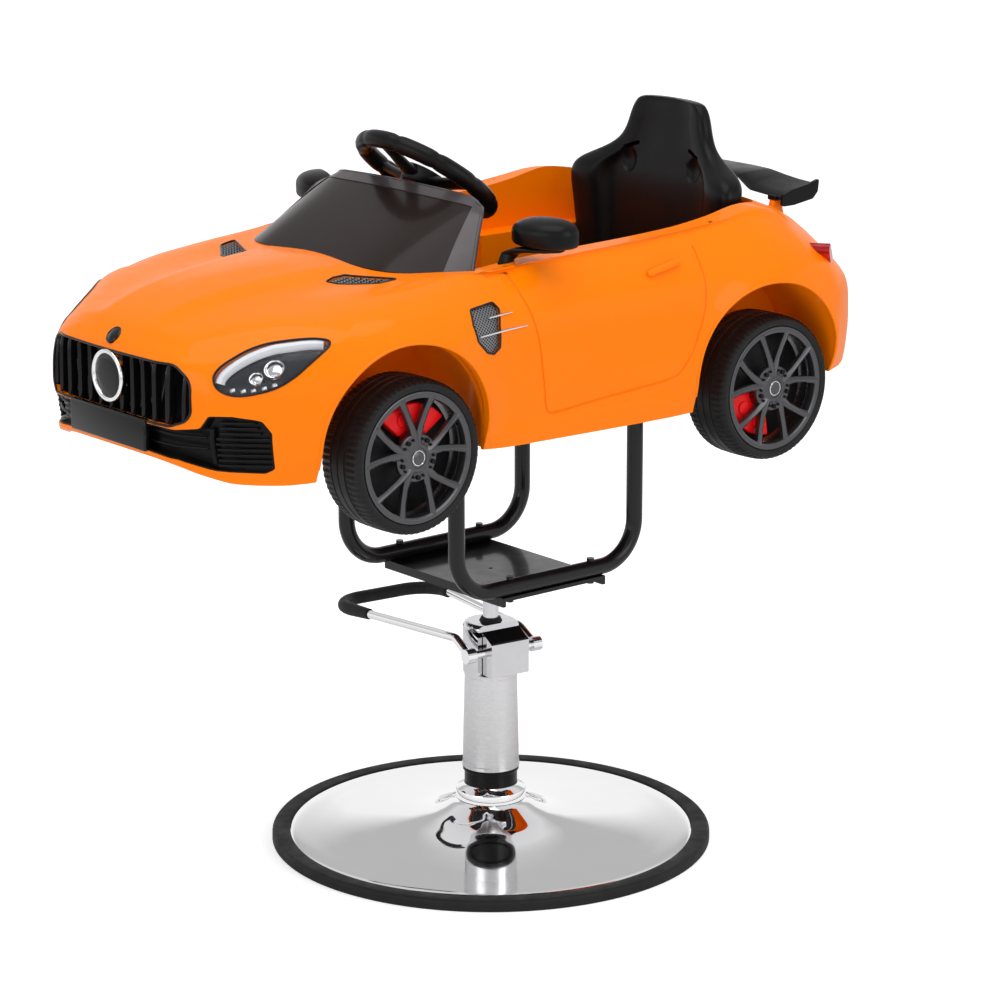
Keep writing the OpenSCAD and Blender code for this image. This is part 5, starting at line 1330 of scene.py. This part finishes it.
def base_slice(y, top, half):
    wing_up = 26
    right = [(0, y, 653), (half * 0.7, y, 653), (half - 8, y, 656), (half, y, 668),
             (half, y, top + wing_up - 10),
             (half - 8, y, top + wing_up), (half - 24, y, top + wing_up - 3), (half - 40, y, top + 5),
             (half * 0.5, y, top), (0, y, top - 2)]
    left = [(-x, v, z) for x, v, z in reversed(right[1:-1])]
    return right + left


cut(seat_object, *both_sides(belt_dish))
cut(seat_object, *both_sides(belt_scoop))
bm = bmesh_from(seat_object)
loft(bm, [base_slice(y, top, half) for y, top, half in
          ((36, 668, 132), (40, 680, 140), (52, 689, 146), (90, 694, 148), (140, 693, 148), (190, 692, 148),
           (260, 694, 146), (290, 700, 140))])
put(bm, "moulded_seat", satin_black, "carriage", ["seat"], sharp=42)
print("seat done")

# %% [markdown]
# ## Steering wheel
# The wheel has a thick black rim in segments, a flattened hub and three spokes. It is modelled flat,
# with its axis up, and then tilted onto the steering column of the CAD model.

# %% Steering wheel and horn
STEER = moved(0, -107, 926) @ turned_by(-36, "X")


def steering_mesh(bm):
    path = [(90.5 * math.cos(a), 90.5 * math.sin(a), 0) for a in full_turn(120)]
    seam = {0: 10.2, 1: 11.2}
    tube(bm, path, [seam.get(abs((k + 6) % 12 - 6), 11.6) for k in range(120)], 16, closed=True)
    for a in (0, 180, 270):
        turn = turned_by(a, "Z")
        stations_of = [(24, 17, 8, -9), (40, 13.5, 6.5, -8), (60, 12, 5.5, -5), (76, 13.5, 6, -2),
                       (88, 17, 7, 0)]
        loops = []
        for r, half, thick, z in stations_of:
            loops.append([turn @ Vector((r, half * math.cos(t), z + thick * math.sin(t)))
                          for t in full_turn(16)])
        loft(bm, loops)
    lathe(bm, [(0, -21), (26, -21), (28, -19), (33, -4), (33.6, -1.5), (32.4, 0.2), (29, 0.8), (25.5, 0.6),
               (22.6, -0.6), (22.6, -7.2), (0, -7.2), (0, -21)], 64)
    column_end = (926 - 646) / math.cos(math.radians(36))
    lathe(bm, [(0, -column_end), (7, -column_end), (7, -19), (12, -15), (0, -15), (0, -column_end)], 32)
    block(bm, (-7, -7, -column_end), (7, 21, -column_end + 6), 2, 2)
    lathe(bm, [(0, -column_end - 14), (4, -column_end - 14), (4, -column_end + 3), (0, -column_end + 3),
               (0, -column_end - 14)], 24, moved(0, 14, 0))
    move(bm, STEER)


bm = bmesh.new()
steering_mesh(bm)
put(bm, "steering_wheel_grip", satin_black, "steering", ["steering_wheel"], sharp=40)
bm = bmesh.new()
lathe(bm, [(0, 3.6), (15, 3.2), (20.5, 2.0), (22.2, 0.2), (22.2, -3), (0, -3), (0, 3.6)], 56)
move(bm, STEER)
put(bm, "horn_pad", gloss_black, "horn", ["horn_button"], sharp=40)
print("steering wheel done")

# %% [markdown]
# ## Mirrors
# Each mirror is a rounded shell, flat at the back where the film sits, on a flat arm that grows out
# of the door's ledge. The shell is a sphere pressed into shape, cut by a plane.

# %% Mirrors
MIRROR_AT = moved(231, -99, 882) @ turned_by(18, "Z")


def powered(value, power):
    return math.copysign(abs(value) ** power, value)


def add_to_side(bm, fresh, s):
    bmesh.ops.scale(fresh, vec=(s, 1, 1), verts=fresh.verts)
    bmesh.ops.recalc_face_normals(fresh, faces=fresh.faces)
    add_part(bm, fresh)


def mirror_mesh(bm, s):
    fresh = bmesh.new()
    bmesh.ops.create_uvsphere(fresh, u_segments=40, v_segments=24, radius=1)
    for v in fresh.verts:
        x, y, z = v.co
        v.co = Vector((powered(x, 0.86) * 46, powered(y, 0.9) * 36,
                       powered(z, 0.82 if z > 0 else 0.3) * (19.5 + 1.5 * x)))
    geom = fresh.verts[:] + fresh.edges[:] + fresh.faces[:]
    sliced = bmesh.ops.bisect_plane(fresh, geom=geom, plane_co=(0, 0.6, 0), plane_no=(0, 1, 0),
                                    clear_outer=True)
    edge = [g for g in sliced["geom_cut"] if isinstance(g, bmesh.types.BMEdge)]
    cap = bmesh.ops.contextual_create(fresh, geom=edge)["faces"]
    bmesh.ops.inset_region(fresh, faces=cap, thickness=3.0, depth=-1.2, use_even_offset=True)
    move(fresh, MIRROR_AT)
    arm = [(202, -144, 832, 12, 8), (203, -143, 846, 13, 6.5), (207, -138, 857, 14, 5),
           (216, -130, 861, 15, 4.2),
           (230, -120, 862, 16, 4), (248, -112, 862.5, 15, 4), (262, -107, 863.5, 9, 3)]
    arm_ups = [(1, 0, 0.1), (0.8, 0, 0.6), (0.3, 0, 0.95)] + [(0, 0, 1)] * 4
    loops = []
    for k, ((x, y, z, w, h), up) in enumerate(zip(arm, arm_ups)):
        lean = Vector((0, 1, 0)) if k < 2 else Vector((0.25, 0.97, 0)).normalized()
        loops.append([Vector((x, y, z)) + lean * w * math.cos(a) + Vector(up) * h * math.sin(a)
                      for a in full_turn(16)])
    loft(fresh, loops)
    add_to_side(bm, fresh, s)


def film_mesh(bm, s):
    fresh = bmesh.new()
    bmesh.ops.create_circle(fresh, cap_ends=True, segments=48, radius=1)
    for v in fresh.verts:
        v.co = Vector((powered(v.co.x, 0.86) * 42, -0.4, powered(v.co.y, 0.82) * 16))
    grown_part = bmesh.ops.extrude_face_region(fresh, geom=fresh.faces[:])["geom"]
    bmesh.ops.translate(fresh, verts=[g for g in grown_part if isinstance(g, bmesh.types.BMVert)],
                        vec=(0, 0.9, 0))
    move(fresh, MIRROR_AT)
    add_to_side(bm, fresh, s)


for side, s in SIDES:
    bm = bmesh.new()
    mirror_mesh(bm, s)
    put(bm, f"mirror_shell_{side}", satin_black, "carriage", [f"mirror_{side}"], sharp=50,
        turn_out=False)
pair("mirror_films", mirror_film, film_mesh, ["mirror_glasses"], "mirror_film", turn_out=False)
print("mirrors done")

# %% [markdown]
# ## Rear wing
# A thin black wing stands on two struts in the body's colour. Its middle is higher than its ends,
# which step down and carry small upright plates.

# %% Wing and struts
STRUT_X, PLATE_X = 166, 184


def wing_slice(x, lead, trail, y0=354.0, y1=417.0):
    top = [(0.00, 0.6), (0.06, 3.2), (0.25, 4.4), (0.55, 3.8), (0.85, 2.6), (1.0, 1.4)]
    low = [(1.0, -0.4), (0.80, -1.6), (0.50, -2.4), (0.20, -2.2), (0.04, -1.0)]
    return [(x, y0 + t * (y1 - y0), lead + (trail - lead) * t + h) for t, h in top + low]


half_wing = [(0, 887, 891), (60, 887, 891), (92, 886.5, 890), (98, 885, 889.4), (116, 874, 887),
             (122, 871.5, 886),
             (150, 869.5, 883), (176, 868.5, 881.5), (185, 868.5, 881.5)]
bm = bmesh.new()
loft(bm, [wing_slice(-x, a, b) for x, a, b in half_wing[:0:-1]] + [wing_slice(*row) for row in half_wing])
for s in (1, -1):
    outline = rounded_outline([(350, 858), (352, 874), (372, 880), (400, 884), (419, 889), (417, 872),
                               (408, 863),
                               (372, 858)], (4, 4, 4, 4, 2, 5, 8, 4))
    slab(bm, [(s * PLATE_X, p.x, p.y) for p in outline], (s * 4, 0, 0))
    block(bm, (s * STRUT_X - 8, 351, 864), (s * STRUT_X + 8, 371, 871), 2, 3)
put(bm, "rear_wing_blade", satin_black, "carriage", ["rear_wing"], sharp=35)
def strut(bm, s):
    loops = []
    for z, y0, y1, half in ((830, 322, 380, 14), (838, 328, 374, 10), (844, 337, 372, 8),
                            (851, 346, 370, 7),
                            (858, 350, 369, 6.5), (866, 352, 368, 6.5)):
        mid, run = (y0 + y1) / 2, (y1 - y0) / 2
        loops.append([(s * (STRUT_X + half * powered(math.sin(a), 0.7)),
                       mid + run * powered(math.cos(a), 0.7), z)
                      for a in full_turn(28)])
    loft(bm, loops)


pair("wing_strut_pair", orange_gloss, strut, ["wing_struts"], "orange_shell", 50)
print("wing done")

# %% [markdown]
# ## Nose
# The grille is a row of upright black blades over a dark backing, with a plain disc in the middle and
# a bare board below it. Each blade follows the nose's curve, because its points are cast on the skin.

# %% Grille blades, disc and board
bm = bmesh.new()
SLATS = 13
for k in range(SLATS):
    x = -138 + 276 * k / (SLATS - 1)
    hits = [h for h in from_nose([Vector((x, 691 + 70 * j / 9)) for j in range(10)]) if h.y < -540]
    loops = []
    for j, h in enumerate(hits):
        end = 0.75 if j in (0, len(hits) - 1) else 1.0
        loops.append([Vector((h.x + dx * end, h.y + dy + 1.0, h.z)) for dx, dy in
                      ((-3.0, 12), (-3.4, 4), (-2.2, 1.2), (0, 0), (2.2, 1.2), (3.4, 4), (3.0, 12))])
    loft(bm, loops)
backing = from_nose(dense(grown(grille_outline, 5.0), 8), 1, -11.5)
rims = [loop_of(bm, backing), loop_of(bm, [h + Vector((0, 3, 0)) for h in backing])]
bridge_rows(bm, rims, rims)
put(bm, "grille_blades", gloss_black, "carriage", ["grille"], sharp=50)
disc_turn = moved(0, -603.5, 731.5) @ turned_by(90, "X")
turned("plain_disc_ring", [(27.2, -5), (27.2, 2.4), (28.2, 3.8), (30, 4.6), (31.6, 4.2), (32.8, 2.6),
                           (33, 0),
                           (33, -5), (27.2, -5)], chrome, ["grille_disc"], "carriage", 80,
                           45,
       disc_turn)
turned("plain_disc_face", [(0, 2.2), (16, 1.9), (24, 1.0), (27.4, 0.2), (27.4, -5), (0, -5), (0, 2.2)],
       gloss_black, (), "carriage", 80, 45, disc_turn)
bm = bmesh.new()
block(bm, (-81, -608.5, 651), (81, -600, 691), 2.2, 3)
block(bm, (-56, -602, 654), (56, -588, 687), 1.0, 2)
put(bm, "bare_board", gloss_black, "carriage", ["number_board"], sharp=40)
spot = on_skin((0, -700, 781), (0, 1, 0))
turned("hood_button", [(0, 1.8), (8.6, 1.5), (9.6, 0.8), (10.6, 1.6), (11.8, 0.8), (12.0, -2), (0, -2),
                       (0, 1.8)],
       gloss_black, (), "carriage", 48, 45,
       Matrix.Translation(spot) @ facing(Vector((0, -0.72, 0.69))))
print("grille done")

# %% [markdown]
# The mouth's black lining carries level ribs in both side intakes. The ribs follow the bumper's sweep
# from the board round to the arches.

# %% Lower mouth
def lining(bm, s, inset, depth):
    return loop_of(bm, [h + Vector((0, depth * (1 - 0.72 * min(1, max(0, (abs(h.x) - 150) / 30))), 0))
                        for h in from_nose(dense(grown(mouth_outline, inset), 7), s)])


def mouth_half(bm, s):
    rims = [lining(bm, s, *way) for way in ((-1.9, 19), (-1.9, 1.5), (-0.4, 1.5), (-0.4, 21))]
    bridge_rows(bm, rims, (rims[0], rims[-1]))
    for k in range(9):
        z = 645 + k * 6.6
        wide = (172 + (k % 2), 218.5) if z < 684 else (176, 211 - (z - 684) * 0.35)
        hits = from_nose([Vector((wide[0] + (wide[1] - wide[0]) * j / 8, z)) for j in range(9)], s)
        path = [h + Vector((0, 4.5 - 2 * j / 8, 0)) for j, h in enumerate(hits) if h.y < -480]
        if len(path) > 2:
            tube(bm, path, 2.1, 8, flat=0.8)
    bars = [([(166, z) for z in (647, 660, 675, 690)], 3.6, 10)]
    bars += [([(x, z) for x in (66, 88, 106, 124, 142, 160)], 1.8, 8) for z in (664, 678)]
    for points, radius, sides in bars:
        tube(bm, [h + Vector((0, 9, 0)) for h in from_nose([Vector(p) for p in points], s)], radius, sides)


pair("mouth_ribs", satin_black, mouth_half, ["lower_grille"], "gloss_black", 45)
print("mouth done")

# %% [markdown]
# ## Vents
# The fender vents have a fine diamond mesh, too small to be worth real wires, so a bump and colour
# pattern draws it: two crossed sets of waves on Object coordinates. Two bright strips cross each one.

# %% Mesh finish, vents and strips
def woven_mesh(name, spacing_mm, plane):
    mat = finish_of(name, (0.16, 0.16, 0.165), 0.35, metal=0.7, tint=0.1)
    t = mat.node_tree
    shader = t.nodes["Principled BSDF"]
    coord = node_of(t, "ShaderNodeTexCoord")
    total = None
    for turn in (50, -50):
        grid = node_of(t, "ShaderNodeMapping")
        grid.inputs["Rotation"].default_value = ((math.radians(turn), 0, 0) if plane == "side"
                                                 else (0, 0, math.radians(turn)))
        wave = node_of(t, "ShaderNodeTexWave", Scale=1000.0 / spacing_mm / 3.2, Distortion=0.0)
        wave.bands_direction = "Y"
        wave.wave_profile = "SIN"
        t.links.new(coord.outputs["Object"], grid.inputs[0])
        t.links.new(grid.outputs[0], wave.inputs["Vector"])
        if total is None:
            total = wave.outputs["Fac"]
        else:
            most = node_of(t, "ShaderNodeMath", operation="MAXIMUM")
            t.links.new(total, most.inputs[0])
            t.links.new(wave.outputs["Fac"], most.inputs[1])
            total = most.outputs[0]
    wires = node_of(t, "ShaderNodeValToRGB")
    wires.color_ramp.elements[0].position = 0.62
    wires.color_ramp.elements[0].color = (0.008, 0.008, 0.008, 1)
    wires.color_ramp.elements[1].position = 0.80
    wires.color_ramp.elements[1].color = (0.26, 0.26, 0.27, 1)
    t.links.new(total, wires.inputs[0])
    t.links.new(wires.outputs[0], shader.inputs["Base Color"])
    relief = node_of(t, "ShaderNodeBump", Strength=0.8, Distance=0.0006)
    t.links.new(total, relief.inputs["Height"])
    t.links.new(relief.outputs[0], shader.inputs["Normal"])
    return mat


side_mesh = woven_mesh("side_vent_mesh", 3.4, "side")
hood_mesh = woven_mesh("hood_vent_mesh", 2.8, "top")


def vent_plate(bm, line_of, outline, depth):
    middle = middle_of(outline)
    rims = []
    for under in (depth, depth + 3):
        rings = [loop_of(bm, line_of([middle + (p - middle) * k for p in outline], under))
                 for k in (1, 0.6, 0.2)]
        bridge_rows(bm, rings, rings[-1:])
        rims.append(rings[0])
    bridge_rows(bm, rims)


def hood_insert(bm, s):
    vent_plate(bm, lambda o, d: from_top(o, s, -d), dense(grown(hood_vent, -0.3), 6), 3.0)
    for k in range(7):
        x = 108 + 9 * k
        y0 = -348 + max(0, x - 125) * 0.7
        y1 = -320 + (x - 103) * 0.443
        hits = from_top([Vector((x, y0 + 3 + (y1 - y0 - 6) * j / 4)) for j in range(5)], s, -1.6)
        if len(hits) > 2:
            tube(bm, hits, 1.5, 6)


def strips(bm, s):
    for line in ([(-224, 794), (-210, 794.6), (-196, 795.1), (-182, 795.4)],
                 [(-247, 775.4), (-220, 776.2), (-190, 776.9), (-163, 777.3)]):
        path = side_line(line, s, 1.0)
        tube(bm, path, [0.7 + 0.9 * math.sin(math.pi * min(1, (i + 1) / len(path)))
                        for i in range(len(path))], 8)


pair("hood_vent_inserts", hood_mesh, hood_insert, ["hood_vents"], "gloss_black", 45)
pair("fender_vent_inserts", side_mesh,
     lambda bm, s: vent_plate(bm, lambda o, d: from_flank(o, s, -d), dense(grown(fender_vent, -0.3), 6),
                              2.6),
     ["fender_vents"], "vent_mesh", 45)
pair("vent_strips", bright_trim, strips, (), "bright_trim", 60)
print("vents done")

# %% [markdown]
# The door handles are moulded in the shell: a rounded bar near the cockpit's
# edge.

# %% Door handles
def handle(bm, s):
    path = side_line([(49, 812.5), (58, 814), (70, 816), (84, 818.3), (97, 820.6), (106, 822)], s, 2.0,
                     steps=5)
    last = len(path) - 1
    tube(bm, path, [5.2 * (0.45 + 0.55 * math.sin(math.pi * min(i, last - i, 6) / 12) ** 0.8)
                    for i in range(last + 1)], 16)


pair("door_handles", orange_gloss, handle, (), "orange_shell", 60)
print("handles done")

# %% [markdown]
# ## Finishes of the CAD pieces that stay
# Turned, bent and hidden parts are already right as solids. Each only needs its procedural finish in
# place of the plain colour that it was imported with.

# %% Finish the rest
STAYS = (
    (steel_paint, ("base_bottom_plate", "mounting_plate", "tube_loop_left", "tube_loop_right",
                   "loop_bolts", "floor_pan", "knuckle_left", "knuckle_right")),
    (bare_steel, ("pump_cylinder", "kingpins", "tie_rod", "rear_axle")),
    # The pump's parts take the darker chrome copy, whose colour paints darker reflections
    (chrome_with_painted_dark_reflection, ("pump_head", "pump_cover", "ram")),
    (satin_black, ("cover_panel", "dashboard", "accelerator_pedal")),
    (rubber, ("ram_seal",)),
    (chrome, ("lever_shaft",)))
finish_for = {name: finish for finish, names in STAYS for name in names}
for name, finish in finish_for.items():
    for material_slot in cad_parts[name].material_slots:
        material_slot.material = finish
hidden = {n for p in made for n in p.get("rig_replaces", [])}
left = sorted(set(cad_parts) - hidden - set(finish_for))
print("replaced", len(hidden), "kept", len(finish_for), "without a finish", left)
